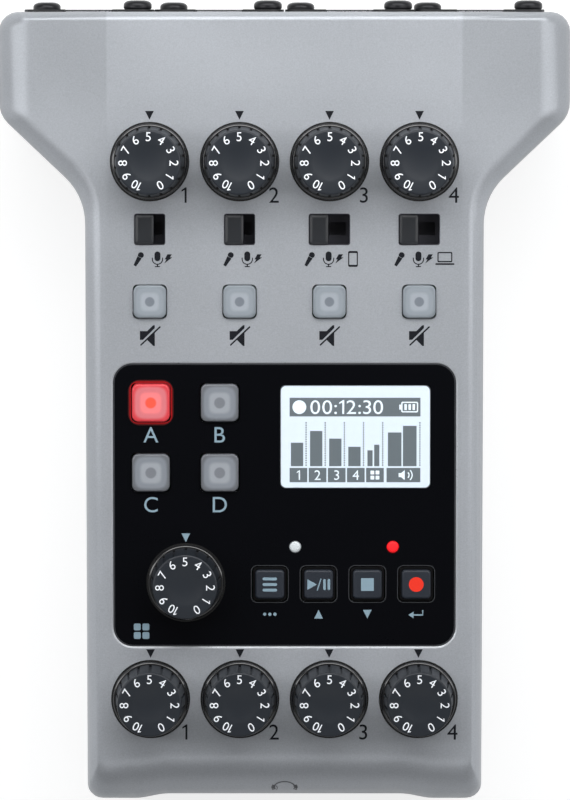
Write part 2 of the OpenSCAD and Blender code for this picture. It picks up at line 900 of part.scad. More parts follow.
// Jack with a nose in the case wall and a housing that hangs from the board
module jack(nose_r, bore_d, depth, width, drop, low) {
    difference() {
        union() {
            cylinder(r = nose_r, h = wall + 1);
            translate([-width / 2, -low, wall + gap])
                cube([width, low + drop, depth]);
        }
        translate([0, 0, -over])
            cylinder(d = bore_d, h = depth + over);
    }
}

module phones_jacks() {
    color([0.10, 0.10, 0.11])
        for (x = phones_xs)
            on_deck()
                at_front(x, -phones_drop)
                    jack(mini_nose_r, mini_bore_d, 13, 7, phones_drop + board_under, 3.6);
}

module output_jacks() {
    color([0.10, 0.10, 0.11])
        for (y = output_ys)
            on_deck()
                at_left(y, -side_drop)
                    jack(output_nose_r, output_bore_d, 26, 12.5, side_drop + board_under, 6);
}

module smartphone_jack() {
    color([0.10, 0.10, 0.11])
        on_deck()
            at_left(smartphone_y, -side_drop)
                jack(mini_nose_r, mini_bore_d, 13, 7, side_drop + board_under, 3.6);
}

module power_slider() {
    thumb_rise = 0.4;
    color([0.12, 0.12, 0.13])
        on_deck()
            at_right(power_y + power_travel / 2, -power_drop) {
                difference() {
                    translate([-2.2, -1.5, -thumb_rise])
                        cube([4.4, 3, wall + thumb_rise + 0.4]);
                    for (x = [-1.2, 0, 1.2])
                        translate([x - 0.2, -2, -thumb_rise - over])
                            cube([0.4, 4, over + 0.3]);
                }
                translate([-3.2, -2.3, wall + gap])
                    cube([6.4, 4.6, 1]);
            }
}

module power_switch() {
    color([0.35, 0.36, 0.38])
        on_deck()
            at_right(power_y, -power_drop)
                translate([-6, -3, wall + 1 + 2 * gap])
                    cube([12, 3 + power_drop + board_under, 5]);
}

module usb_ports() {
    lip = 0.35;
    color([0.70, 0.71, 0.73])
        for (y = usb_ys)
            on_deck()
                at_right(y, board_under - usb_h / 2)
                    translate([0, 0, 0.3]) {
                        difference() {
                            rounded_plate(usb_w, usb_h, 1.2, usb_l);
                            translate([0, 0, -over])
                                rounded_plate(usb_w - 2 * lip, usb_h - 2 * lip, 1, usb_l - 1 + over);
                        }
                        translate([-3.35, -0.35, 1])
                            cube([6.7, 0.7, usb_l - 1.5]);
                    }
}

module card_socket() {
    color([0.70, 0.71, 0.73])
        on_deck()
            at_right(card_y, board_under)
                translate([0, 0, wall + gap])
                    difference() {
                        translate([-card_socket_w / 2, -card_socket_h, 0])
                            cube([card_socket_w, card_socket_h, card_socket_l]);
                        translate([-card_w / 2, -card_socket_h + 0.3, -over])
                            cube([card_w, 2.3, card_socket_l - 2 + over]);
                    }
}

// Plate that swings on a barrel and two pins; its outer face is level with the barrel's side
module flap(length, height, thick, barrel_r, pin_r, pin_l) {
    translate([-length / 2, 0, -barrel_r])
        cube([length, height, thick]);
    translate([-length / 2, 0, 0])
        rotate([0, 90, 0])
            cylinder(r = barrel_r, h = length);
    translate([-length / 2 - pin_l, 0, 0])
        rotate([0, 90, 0])
            cylinder(r = pin_r, h = length + 2 * pin_l);
}

module on_cover_axis() {
    on_deck([cover_axis_x, card_y, cover_axis_z])
        rotate([90, 0, -90])
            children();
}

module card_cover() {
    color([0.10, 0.10, 0.11])
        on_cover_axis()
            flap(cover_l - 2 * gap, cover_h, cover_t, cover_barrel_r, cover_pin_r, 1.2);
}

// Recess in the side wall that takes the card cover, with the slot behind it
module card_cuts() {
    on_cover_axis() {
        translate([-cover_l / 2, -cover_barrel_r - 2 * gap, -cover_barrel_r - over])
            cube([cover_l, cover_h + 4, over + cover_t + 0.3]);
        translate([-cover_l / 2, 0, 0])
            rotate([0, 90, 0])
                cylinder(r = cover_barrel_r + gap, h = cover_l);
        translate([-cover_l / 2 - 1.5, 0, 0])
            rotate([0, 90, 0])
                cylinder(r = cover_pin_r + 0.08, h = cover_l + 3);
    }
    on_deck()
        at_right(card_y, board_under - 1.5)
            translate([-card_w / 2 - 0.2, -1.3, -over])
                cube([card_w + 0.4, 2.6, wall + 2 * over]);
}

module battery_door() {
    color([0.11, 0.11, 0.12])
        translate([0, door_axis_y, door_axis_z])
            rotate([0, 0, 180])
                difference() {
                    flap(door_w, door_l - door_barrel_r, door_t, door_barrel_r, door_pin_r, 1);
                    for (i = [0:3])
                        translate([-7, door_l - 9 + 1.6 * i, -door_barrel_r - over])
                            cube([14, 0.8, over + 0.4]);
                }
}

module battery_cells() {
    tip = 1.2;
    color([0.30, 0.32, 0.36])
        for (side = [-1, 1])
            translate([0, bay_y + side * (cell_d / 2 + 0.2), cell_z])
                rotate([0, side * 90, 0])
                    translate([0, 0, -cell_l / 2])
                        rotate_extrude()
                            polygon([
                                [0, 0], [cell_d / 2 - 0.6, 0], [cell_d / 2, 0.6],
                                [cell_d / 2, cell_l - tip - 0.8], [cell_d / 2 - 0.8, cell_l - tip],
                                [2.7, cell_l - tip], [2.7, cell_l], [0, cell_l]
                            ]);
}

// Bent leaf contacts between the ends of the bay and the cells
module battery_contacts() {
    reach = (bay_w - cell_l) / 2 - 0.1;
    leaf_w = 8;
    low = cell_z - 5;
    color([0.75, 0.74, 0.70])
        for (end = [-1, 1])
            for (side = [-1, 1])
                translate([end * bay_w / 2, bay_y + side * (cell_d / 2 + 0.2) + leaf_w / 2, low])
                    mirror([end > 0 ? 1 : 0, 0, 0])
                        rotate([90, 0, 0])
                            linear_extrude(leaf_w)
                                polygon([
                                    [0, 0], [contact_t, 0], [contact_t, 8.9], [reach - contact_t, 5.5],
                                    [reach - contact_t, 4.6], [contact_t + 0.5, 1.8], [contact_t + 0.8, 1.3],
                                    [reach, 4.3], [reach, 5.8], [contact_t, 10], [0, 10]
                                ]);
}

module case_base() {
    loft(
        base_rings(even_outline(0), even_outline(base_edge), base_edge, -seam_depth - seat_gap, 3),
        base_level(hub_y)
    );
}

module base_hollow() {
    inner = even_outline(wall);
    loft([
        [for (p = inner) [p.x, p.y, base_level(p.y) + wall]],
        [for (p = inner) [p.x, p.y, -seam_depth + over]]
    ], base_level(hub_y) + wall);
}

module bottom_case() {
    color([0.12, 0.12, 0.13])
        difference() {
            union() {
                on_deck()
                    difference() {
                        case_base();
                        base_hollow();
                    }
                on_deck()
                    for (p = post_places)
                        translate([p.x, p.y, base_level(p.y) + wall / 2])
                            cylinder(r = tube_r, h = board_under - base_level(p.y) - wall / 2);
                translate([-bay_w / 2 - bay_wall, bay_y - bay_l / 2 - bay_wall, foot_h + wall / 2])
                    cube([bay_w + 2 * bay_wall, bay_l + 2 * bay_wall, bay_top + 0.9 - foot_h - wall / 2]);
                on_deck()
                    at_right(card_y, cover_axis_z)
                        translate([-cover_l / 2 - 2, -1.8, wall / 2])
                            cube([cover_l + 4, 3.4, wall / 2 + 1]);
            }
            translate([-bay_w / 2, bay_y - bay_l / 2, foot_h - over])
                cube([bay_w, bay_l, bay_top - foot_h + over]);
            translate([-bay_w / 2 - 1.2, door_axis_y, door_axis_z])
                rotate([0, 90, 0])
                    cylinder(r = door_pin_r + 0.08, h = bay_w + 2.4);
            on_deck() {
                for (p = post_places) {
                    translate([p.x, p.y, base_level(p.y) - 3])
                        cylinder(r = screw_head_r + 0.3, h = screw_seat - base_level(p.y) + 3);
                    translate([p.x, p.y, screw_seat - over])
                        cylinder(r = screw_hole_r, h = board_under - screw_seat + 2 * over);
                }
                xlr_cuts();
                port_cuts();
            }
            card_cuts();
            for (p = foot_places)
                translate([p.x, p.y, foot_h - over])
                    cylinder(d = foot_d + 2 * seat_gap, h = over + 0.5);
        }
}

// Holes for the jacks, the ports and the power slider
module port_cuts() {
    for (x = phones_xs)
        at_front(x, -phones_drop)
            translate([0, 0, -2 * over])
                cylinder(r = mini_nose_r + seat_gap, h = wall + 3 * over);
    for (y = output_ys)
        at_left(y, -side_drop)
            translate([0, 0, -over])
                cylinder(r = output_nose_r + seat_gap, h = wall + 2 * over);
    at_left(smartphone_y, -side_drop)
        translate([0, 0, -over])
            cylinder(r = mini_nose_r + seat_gap, h = wall + 2 * over);
    for (y = usb_ys)
        at_right(y, board_under - usb_h / 2)
            translate([0, 0, -over])
                rounded_plate(usb_w + 2 * seat_gap, usb_h + 2 * seat_gap, 1.3, wall + 2 * over);
    at_right(power_y, -power_drop)
        translate([-2.2 - power_travel / 2 - gap, -1.5 - gap, -over])
            cube([4.4 + power_travel + 2 * gap, 3 + 2 * gap, wall + 2 * over]);
}

module rubber_feet() {
    color([0.06, 0.06, 0.06])
        for (p = foot_places)
            translate([p.x, p.y, 0])
                rotate_extrude()
                    polygon([
                        [0, 0], [foot_d / 2 - 0.6, 0], [foot_d / 2, 0.6], [foot_d / 2, foot_h + 0.45],
                        [0, foot_h + 0.45]
                    ]);
}

module case_screws() {
    color([0.30, 0.30, 0.32])
        for (p = post_places)
            on_deck([p.x, p.y, screw_seat])
                difference() {
                    rotate_extrude()
                        polygon([
                            [0, -screw_head_h], [screw_head_r - 0.6, -screw_head_h], [screw_head_r, -0.8],
                            [screw_head_r, 0], [screw_r, 0], [screw_r, screw_end - screw_seat - 0.5],
                            [screw_r - 0.5, screw_end - screw_seat], [0, screw_end - screw_seat]
                        ]);
                    for (turn = [0, 90])
                        rotate([0, 0, turn])
                            translate([-1.4, -0.35, -screw_head_h - over])
                                cube([2.8, 0.7, over + 0.9]);
                }
}

top_case();
bottom_case();
display_panel();
display_window();
lcd_module();
power_led_lens();
record_led_lens();
gain_knob_1();
gain_knob_2();
gain_knob_3();
gain_knob_4();
pad_level_knob();
phones_knob_1();
phones_knob_2();
phones_knob_3();
phones_knob_4();
potentiometers();
input_switch_1();
input_switch_2();
input_switch_3();
input_switch_4();
slide_switches();
mute_button_1();
mute_button_2();
mute_button_3();
mute_button_4();
sound_pad_a();
sound_pad_b();
sound_pad_c();
sound_pad_d();
menu_key();
play_key();
stop_key();
record_key();
tact_switches();
main_board();
xlr_shells();
xlr_inserts();
xlr_latch_1();
xlr_latch_2();
xlr_latch_3();
xlr_latch_4();
xlr_screws();
phones_jacks();
output_jacks();
smartphone_jack();
power_slider();
power_switch();
usb_ports();
card_socket();
card_cover();
battery_door();
battery_cells();
battery_contacts();
rubber_feet();
case_screws();
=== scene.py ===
"""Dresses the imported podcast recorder: finishes, printed signs, lit caps, knobs, screws, light and camera."""

import json
import logging
import math
from collections import defaultdict
from collections.abc import Iterable, Sequence
from dataclasses import dataclass, field
from enum import Enum

import bmesh
import bpy
from bpy.types import Material, Mesh, Node, NodeSocket, NodeTree, Object
from mathutils import Matrix, Vector
from mathutils.bvhtree import BVHTree


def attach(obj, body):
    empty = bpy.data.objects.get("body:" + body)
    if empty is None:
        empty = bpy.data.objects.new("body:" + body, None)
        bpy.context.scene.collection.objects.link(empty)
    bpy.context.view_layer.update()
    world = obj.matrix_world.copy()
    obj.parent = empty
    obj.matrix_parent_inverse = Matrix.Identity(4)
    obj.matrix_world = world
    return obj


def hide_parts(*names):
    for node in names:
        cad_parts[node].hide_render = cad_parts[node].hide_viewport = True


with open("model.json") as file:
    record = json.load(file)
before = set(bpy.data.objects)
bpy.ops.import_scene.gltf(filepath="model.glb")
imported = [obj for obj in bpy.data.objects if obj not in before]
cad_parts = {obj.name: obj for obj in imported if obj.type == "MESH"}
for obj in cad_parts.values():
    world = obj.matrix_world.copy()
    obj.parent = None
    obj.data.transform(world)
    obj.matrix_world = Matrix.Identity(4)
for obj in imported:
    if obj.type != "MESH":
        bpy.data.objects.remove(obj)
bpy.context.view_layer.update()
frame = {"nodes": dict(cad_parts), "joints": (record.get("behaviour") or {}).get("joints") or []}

LOG = logging.getLogger("recorder")
MM = 0.001
BODY = "case"
PANEL_NODE = "display_panel"
CHANNELS = range(1, 5)
TYPE_SPACE = 0.1
FIGURE_ONE = [(0.22, 0.0), (0.31, 0.0), (0.31, 0.7), (0.25, 0.7), (0.08, 0.58), (0.08, 0.5), (0.22, 0.58)]
PRINT_LIFT = 0.01
PRINT_THICKNESS = 0.02
LEAST_CORNER = 0.12
WELD = 1e-5
PATCH_SHARE = 0.8
BUMP_STRENGTH = 0.35
COAT_ROUGHNESS = 0.08

Colour = tuple[float, float, float]
Point = tuple[float, float]
Outline = list[Point]
Ring = list[tuple[float, float, float]]


def srgb(red: int, green: int, blue: int) -> Colour:
    """Gives the linear colour of an 8-bit screen colour."""
    shares = (red / 255, green / 255, blue / 255)
    return tuple(c / 12.92 if c <= 0.04045 else ((c + 0.055) / 1.055) ** 2.4 for c in shares)


def opaque(colour: Colour) -> tuple[float, float, float, float]:
    """Adds full cover to a colour."""
    return (*colour, 1.0)


def numbered(stem: str) -> list[str]:
    """Gives the names of a row of nodes, one for each channel."""
    return [f"{stem}_{channel}" for channel in CHANNELS]


def fill(node: Node, values: dict[str, object]) -> None:
    """Sets inputs of a node by their names."""
    for name, value in values.items():
        node.inputs[name].default_value = value


class Wiring:
    """Short-hand for placing and linking the nodes of one tree."""

    def __init__(self, tree: NodeTree) -> None:
        """Starts on the tree that gets the nodes."""
        self.tree = tree

    def add(self, kind: str, **settings: object) -> Node:
        """Places a node.

        Args:
            kind: Blender's name of the node type.
            settings: Properties of the node.

        Returns:
            The new node.
        """
        node = self.tree.nodes.new(kind)
        for name, value in settings.items():
            setattr(node, name, value)
        return node

    def link(self, source: NodeSocket, target: NodeSocket) -> None:
        """Joins an output to an input."""
        self.tree.links.new(source, target)

    def math(self, operation: str, first: NodeSocket | float, second: NodeSocket | float = 0.0) -> NodeSocket:
        """Places a Math node.

        Args:
            operation: The node's operation.
            first: Its first value, or the output that gives it.
            second: Its second value, or the output that gives it.

        Returns:
            The node's output.
        """
        node = self.add("ShaderNodeMath", operation=operation)
        for socket, value in zip(node.inputs, (first, second)):
            if isinstance(value, NodeSocket):
                self.link(value, socket)
            else:
                socket.default_value = value
        return node.outputs[0]

    def ramp(self, value: NodeSocket, low: float, high: float) -> NodeSocket:
        """Places a smooth step.

        Args:
            value: The output that is tested.
            low: Where the step starts at 0.
            high: Where the step ends at 1; below low, the step falls.

        Returns:
            The step's output.
        """
        node = self.add("ShaderNodeMapRange", interpolation_type="SMOOTHSTEP")
        self.link(value, node.inputs["Value"])
        rising = high > low
        fill(node, {"From Min": min(low, high), "From Max": max(low, high),
                    "To Min": 0.0 if rising else 1.0, "To Max": 1.0 if rising else 0.0})
        return node.outputs[0]

    def blend(self, share: NodeSocket, low: NodeSocket, high: NodeSocket) -> NodeSocket:
        """Places a colour mix that shows low at share 0 and high at share 1."""
        node = self.add("ShaderNodeMix", data_type="RGBA")
        self.link(share, node.inputs["Factor"])
        self.link(low, node.inputs[6])
        self.link(high, node.inputs[7])
        return node.outputs[2]

    def tint(self, colour: NodeSocket, value: NodeSocket) -> NodeSocket:
        """Gives a colour with its brightness multiplied by a value."""
        node = self.add("ShaderNodeHueSaturation")
        self.link(value, node.inputs["Value"])
        self.link(colour, node.inputs["Color"])
        return node.outputs[0]

    def place(self) -> NodeSocket:
        """Gives the place on the object."""
        return self.add("ShaderNodeTexCoord").outputs["Object"]

    def split(self, vector: NodeSocket) -> Sequence[NodeSocket]:
        """Gives the three parts of a vector."""
        node = self.add("ShaderNodeSeparateXYZ")
        self.link(vector, node.inputs[0])
        return node.outputs


class Effect(Enum):
    """Shared surface effects, each one a shader node group."""

    GRAIN = "patches_and_grain"
    # Painted shade on the head's wings, darker beyond the creases.
    WINGS = "toned_wings"
    CAP = "lit_cap_zones"
    DOTS = "display_dots"

    def tree(self) -> NodeTree:
        """Gives the group's tree, built when it is first asked for."""
        made = bpy.data.node_groups.get(self.value)
        if made is None:
            made = bpy.data.node_groups.new(self.value, "ShaderNodeTree")
            builders = {Effect.GRAIN: build_grain, Effect.WINGS: build_wings, Effect.CAP: build_cap_zones,
                        Effect.DOTS: build_dots}
            builders[self](made)
        return made

    def place(self, wiring: Wiring, **values: object) -> Node:
        """Puts the group into a material.

        Args:
            wiring: The material's wiring.
            values: Values of the group's inputs, spaces written as underscores.

        Returns:
            The group node.
        """
        node = wiring.add("ShaderNodeGroup", node_tree=self.tree())
        fill(node, {name.replace("_", " "): value for name, value in values.items()})
        return node


def start_group(tree: NodeTree, inputs: dict[str, str], outputs: dict[str, str]) -> tuple[Wiring, Node, Node]:
    """Gives a group its named sockets.

    Args:
        tree: The group's tree.
        inputs: Type of each input, by name.
        outputs: Type of each output, by name.

    Returns:
        The group's wiring, its input node and its output node.
    """
    for way, sockets in (("INPUT", inputs), ("OUTPUT", outputs)):
        for name, kind in sockets.items():
            tree.interface.new_socket(name, in_out=way, socket_type="NodeSocket" + kind)
    wiring = Wiring(tree)
    return wiring, wiring.add("NodeGroupInput"), wiring.add("NodeGroupOutput")


def build_grain(tree: NodeTree) -> None:
    """Builds soft patches and fine grain that vary a colour, a roughness and a height."""
    wiring, given, result = start_group(
        tree,
        {"Colour": "Color", "Variation": "Float", "Patch Scale": "Float", "Grain Scale": "Float",
         "Roughness": "Float", "Roughness Spread": "Float"},
        {"Colour": "Color", "Roughness": "Float", "Height": "Float"},
    )
    place = wiring.place()
    noises = []
    for scale, detail in (("Patch Scale", 3.0), ("Grain Scale", 2.0)):
        noise = wiring.add("ShaderNodeTexNoise")
        fill(noise, {"Detail": detail})
        wiring.link(place, noise.inputs["Vector"])
        wiring.link(given.outputs[scale], noise.inputs["Scale"])
        noises.append(wiring.math("SUBTRACT", noise.outputs[0], 0.5))
    patches, grain = noises
    swing = wiring.math("ADD", wiring.math("MULTIPLY", patches, PATCH_SHARE), grain)
    share = wiring.math("ADD", wiring.math("MULTIPLY", swing, given.outputs["Variation"]), 1.0)
    wiring.link(wiring.tint(given.outputs["Colour"], share), result.inputs["Colour"])
    spread = wiring.math("MULTIPLY", swing, given.outputs["Roughness Spread"])
    wiring.link(wiring.math("ADD", spread, given.outputs["Roughness"]), result.inputs["Roughness"])
    wiring.link(wiring.math("ADD", grain, 0.5), result.inputs["Height"])


def build_wings(tree: NodeTree) -> None:
    """Builds the painted shade of the head's wings, a darker colour that stands in for the shading of their slope;
    it starts at their creases and fades to the front.
    """
    wiring, given, result = start_group(
        tree,
        {"Colour": "Color", "Tone": "Float", "Crease": "Float", "Front": "Float", "Rear": "Float"},
        {"Colour": "Color"},
    )
    soft = 0.3 * MM
    across, along, _ = wiring.split(wiring.place())
    beyond = wiring.math("SUBTRACT", wiring.math("ABSOLUTE", across), given.outputs["Crease"])
    ahead = wiring.math("SUBTRACT", along, given.outputs["Front"])
    reach = wiring.math("SUBTRACT", given.outputs["Rear"], given.outputs["Front"])
    fade = wiring.ramp(wiring.math("DIVIDE", ahead, reach), 0.0, 1.0)
    share = wiring.math("MULTIPLY", wiring.ramp(beyond, -soft, soft), fade)
    drop = wiring.math("MULTIPLY", share, wiring.math("SUBTRACT", 1.0, given.outputs["Tone"]))
    wing_shaded = wiring.tint(given.outputs["Colour"], wiring.math("SUBTRACT", 1.0, drop))
    wiring.link(wing_shaded, result.inputs["Colour"])


def build_cap_zones(tree: NodeTree) -> None:
    """Builds the zones of a see-through cap: its rim, darker as painted shade, its field, a paler square of
    painted highlight and a round spot.
    """
    colours = ("Rim", "Field", "Square", "Spot")
    wiring, given, result = start_group(tree, dict.fromkeys(colours, "Color"), {"Colour": "Color"})
    parts = wiring.split(wiring.add("ShaderNodeUVMap").outputs[0])
    ways = [wiring.math("ABSOLUTE", wiring.math("SUBTRACT", parts[i], 0.5)) for i in (0, 1)]
    square_way, round_way = (
        wiring.math("POWER", wiring.math("ADD", *(wiring.math("POWER", way, power) for way in ways)), 1 / power)
        for power in (4.0, 2.0)
    )
    # The darker rim is painted shade and the paler square painted highlight.
    zones = (("Square", square_way, 0.33, 0.22), ("Spot", round_way, 0.17, 0.12), ("Rim", square_way, 0.38, 0.47))
    shade = given.outputs["Field"]
    for name, way, start, end in zones:
        shade = wiring.blend(wiring.ramp(way, start, end), shade, given.outputs[name])
    wiring.link(shade, result.inputs["Colour"])


def build_dots(tree: NodeTree) -> None:
    """Builds the fine dot matrix of the display, darker along the lines between its dots."""
    wiring, given, result = start_group(
        tree, {"Colour": "Color", "Line Colour": "Color", "Dots": "Float"}, {"Colour": "Color"})
    parts = wiring.split(wiring.place())
    lines = []
    for axis in (0, 1):
        step = wiring.math("FRACT", wiring.math("MULTIPLY", parts[axis], given.outputs["Dots"]))
        lines.append(wiring.ramp(wiring.math("ABSOLUTE", wiring.math("SUBTRACT", step, 0.5)), 0.36, 0.48))
    shade = wiring.blend(
        wiring.math("MAXIMUM", *lines), given.outputs["Colour"], given.outputs["Line Colour"])
    wiring.link(shade, result.inputs["Colour"])


def new_material(name: str) -> tuple[Material, Wiring, Node]:
    """Starts a node material.

    Args:
        name: The material's name.

    Returns:
        The material, its wiring and its Principled shader.
    """
    material = bpy.data.materials.new(name)
    material.use_nodes = True
    return material, Wiring(material.node_tree), material.node_tree.nodes["Principled BSDF"]


@dataclass(frozen=True)
class Finish:
    """A finish, with its material's name and a slot name that nothing in this script reads."""

    name: str
    slot: str

    def material(self) -> Material:
        """Gives the finish's material, built when it is first asked for."""
        made = bpy.data.materials.get(self.name)
        if made is None:
            made, wiring, shader = new_material(self.name)
            self.wire(wiring, shader)
        return made

    def wire(self, wiring: Wiring, shader: Node) -> None:
        """Wires the finish into its material's shader."""
        raise NotImplementedError

    def grained(self, wiring: Wiring, shader: Node, colour: NodeSocket, **values: float) -> NodeSocket:
        """Gives the shader a grained colour and roughness.

        Args:
            wiring: The material's wiring.
            shader: Its shader.
            colour: The colour that gets the grain.
            values: Values of the grain.

        Returns:
            The grained colour.
        """
        grain = Effect.GRAIN.place(wiring, **values)
        wiring.link(colour, grain.inputs["Colour"])
        for name, target in (("Colour", "Base Color"), ("Roughness", "Roughness")):
            wiring.link(grain.outputs[name], shader.inputs[target])
        return grain.outputs["Colour"]


@dataclass(frozen=True)
class Moulded(Finish):
    """A painted, moulded, plated or printed surface with soft patches and fine grain."""

    colour: Colour
    roughness: float
    specular: float = 0.5
    metallic: float = 0.0
    variation: float = 0.08
    patch_scale: float = 70.0
    grain_scale: float = 2600.0
    grain_depth: float = 0.004
    roughness_spread: float = 0.10
    coat: float = 0.0
    glow: float = 0.0

    def wire(self, wiring: Wiring, shader: Node) -> None:
        """Wires the grain into the colour, the roughness and the bumps."""
        grain = Effect.GRAIN.place(
            wiring, Colour=opaque(self.colour), Variation=self.variation, Patch_Scale=self.patch_scale,
            Grain_Scale=self.grain_scale, Roughness=self.roughness, Roughness_Spread=self.roughness_spread,
        )
        wiring.link(self.toned(wiring, grain.outputs["Colour"]), shader.inputs["Base Color"])
        wiring.link(grain.outputs["Roughness"], shader.inputs["Roughness"])
        bump = wiring.add("ShaderNodeBump")
        fill(bump, {"Strength": BUMP_STRENGTH, "Distance": self.grain_depth * MM})
        wiring.link(grain.outputs["Height"], bump.inputs["Height"])
        wiring.link(bump.outputs[0], shader.inputs["Normal"])
        fill(shader, {"Metallic": self.metallic, "Specular IOR Level": self.specular, "Coat Weight": self.coat,
                      "Coat Roughness": COAT_ROUGHNESS})
        if self.glow:
            wiring.link(grain.outputs["Colour"], shader.inputs["Emission Color"])
            fill(shader, {"Emission Strength": self.glow})

    def toned(self, wiring: Wiring, colour: NodeSocket) -> NodeSocket:
        """Gives the colour that the surface shows, which here is the grained one."""
        return colour


@dataclass(frozen=True)
class WingedPaint(Moulded):
    """A paint with painted shade on the head's wings, darker there to stand in for the shading of their slope."""

    wing_tone: float = 0.85
    crease: float = 0.0346
    fade: tuple[float, float] = (0.044, 0.064)

    def toned(self, wiring: Wiring, colour: NodeSocket) -> NodeSocket:
        """Gives the grained colour with the painted shade of the wings."""
        wings = Effect.WINGS.place(
            wiring, Tone=self.wing_tone, Crease=self.crease, Front=self.fade[0], Rear=self.fade[1])
        wiring.link(colour, wings.inputs["Colour"])
        return wings.outputs["Colour"]


@dataclass(frozen=True)
class LitCap(Finish):
    """A see-through silicone cap over a lamp, with a rim in painted shade, a field, a paler square of painted
    highlight and a round spot; on caps whose lamps are off, the faint glow is painted light.
    """

    rim: Colour
    face: Colour
    square: Colour
    spot: Colour
    glow: float
    coat: float = 0.25

    def wire(self, wiring: Wiring, shader: Node) -> None:
        """Wires the cap's zones into the colour and the glow."""
        zones = Effect.CAP.place(
            wiring, Rim=opaque(self.rim), Field=opaque(self.face), Square=opaque(self.square),
            Spot=opaque(self.spot),
        ).outputs["Colour"]
        self.grained(wiring, shader, zones, Variation=0.05, Patch_Scale=180.0, Grain_Scale=3200.0, Roughness=0.42,
                     Roughness_Spread=0.12)
        wiring.link(zones, shader.inputs["Emission Color"])
        fill(shader, {"Emission Strength": self.glow, "Coat Weight": self.coat})


@dataclass(frozen=True)
class Screen(Finish):
    """The lit face of the display behind its clear window."""

    colour: Colour
    line: Colour
    dots_per_metre: float
    glow: float

    def wire(self, wiring: Wiring, shader: Node) -> None:
        """Wires the dots into the colour and the glow."""
        dots = Effect.DOTS.place(
            wiring, Colour=opaque(self.colour), Line_Colour=opaque(self.line), Dots=self.dots_per_metre)
        shade = self.grained(wiring, shader, dots.outputs["Colour"], Variation=0.03, Patch_Scale=50.0,
                             Grain_Scale=900.0, Roughness=0.2, Roughness_Spread=0.05)
        wiring.link(shade, shader.inputs["Emission Color"])
        fill(shader, {"Emission Strength": self.glow})


# The silver paint carries painted shade on the head's wings, darker beyond the creases to stand in for the shading
# of their slope.
SILVER = WingedPaint("silver_paint", "case_silver", srgb(180, 184, 190), 0.35, specular=0.15, metallic=0.3,
                     variation=0.34, patch_scale=25.0, grain_scale=3600.0)
BASE = Moulded("dark_moulding", "case_dark", srgb(44, 45, 48), 0.55, grain_scale=1800.0, grain_depth=0.02)
PANEL = Moulded("panel_gloss", "panel_black", srgb(9, 10, 14), 0.16, specular=0.12, variation=0.15,
                roughness_spread=0.03, grain_depth=0.0005)
# Lighter grey: painted highlight of the panel's bevel on its rim; the same grey also draws the fine frames round
# the keys.
RIM_HIGHLIGHT_AND_FRAME_LINE = Moulded("panel_edge", "panel_black", srgb(54, 56, 60), 0.35)
# Brighter, more metallic copy of the silver paint: painted highlight on the pocket's chamfer.
POCKET_EDGE_HIGHLIGHT = Moulded("pocket_edge", "case_silver", srgb(214, 217, 222), 0.3, metallic=0.6)
KNOB = Moulded("knob_moulding", "knob_dark", srgb(36, 41, 48), 0.42, specular=0.4, grain_depth=0.006)
SKIRT = Moulded("skirt_gloss", "knob_dark", srgb(16, 17, 20), 0.16, specular=0.8, grain_depth=0.001, coat=0.6)
# The white knob numbers glow a little: painted light, for the ink is no lamp.
NUMBER = Moulded("white_ink_painted_glow", "knob_dark", srgb(240, 243, 248), 0.55, variation=0.03, glow=0.12)
# Near-black finish of the ring in the gap round each knob: painted shade where that gap falls dark.
GAP_SHADE = Moulded("painted_gap_shade", "switch_black", srgb(10, 10, 11), 0.6)
SLOT = Moulded("slot_black", "switch_black", srgb(66, 66, 76), 0.5)
LEVER = Moulded("lever_moulding", "switch_black", srgb(30, 33, 38), 0.42, coat=0.15)
INK = Moulded("dark_ink", "case_silver", srgb(24, 26, 32), 0.6, specular=0.15, variation=0.03)
FAINT_INK = Moulded("faint_ink", "case_silver", srgb(104, 107, 112), 0.6, variation=0.03)
PANEL_INK = Moulded("blue_grey_ink", "panel_black", srgb(143, 169, 184), 0.55, variation=0.03)
# The record key's red sign glows: painted light, for the ink is no lamp.
RED_INK = Moulded("red_ink_painted_glow", "key_dark", srgb(228, 44, 20), 0.5, variation=0.03, glow=0.25)
KEY = Moulded("key_silicone", "key_dark", srgb(30, 37, 48), 0.5, grain_depth=0.008)
KEY_SKIRT = Moulded("key_skirt", "key_dark", srgb(5, 5, 7), 0.4, specular=0.2)
# Caps: darker rims are painted shade and paler squares painted highlight; the lit pad's glow is its lamp, while
# the faint glow of the mute and dark pad caps, whose lamps are off, is painted light.
MUTE_CAP = LitCap("mute_cap", "button_grey", srgb(136, 144, 151), srgb(150, 158, 166), srgb(168, 175, 183),
                  srgb(124, 131, 140), 0.02)
PAD_CAP = LitCap("pad_cap", "button_grey", srgb(106, 109, 115), srgb(136, 142, 150), srgb(162, 167, 174),
                 srgb(126, 130, 137), 0.03)
LIT_CAP = LitCap("lit_pad_cap", "pad_red", srgb(196, 54, 62), srgb(198, 106, 112), srgb(224, 118, 120),
                 srgb(255, 80, 60), 0.42)
SCREEN = Screen("display_face", "display_clear", srgb(222, 234, 243), srgb(206, 219, 230), 4600.0, 0.28)
SCREEN_INK = Moulded("display_ink", "lcd", srgb(104, 114, 120), 0.5, variation=0.04, glow=0.10)
SCREEN_LIGHT = Moulded("display_light", "lcd", srgb(230, 240, 247), 0.5, variation=0.02, glow=0.28)
WHITE_LENS = Moulded("white_lens", "lens_white", srgb(214, 220, 223), 0.5, specular=0.2, variation=0.03, glow=0.14)
RED_LENS = Moulded("red_lens", "lens_red", srgb(246, 36, 42), 0.5, specular=0.2, variation=0.03, glow=0.5)
LCD_FRAME = Moulded("display_frame", "lcd", srgb(206, 212, 218), 0.4)
SOCKET = Moulded("socket_moulding", "socket_black", srgb(30, 31, 33), 0.45, grain_depth=0.008)
STEEL = Moulded("bright_steel", "bare_steel", srgb(196, 198, 202), 0.28, metallic=1.0, variation=0.06)
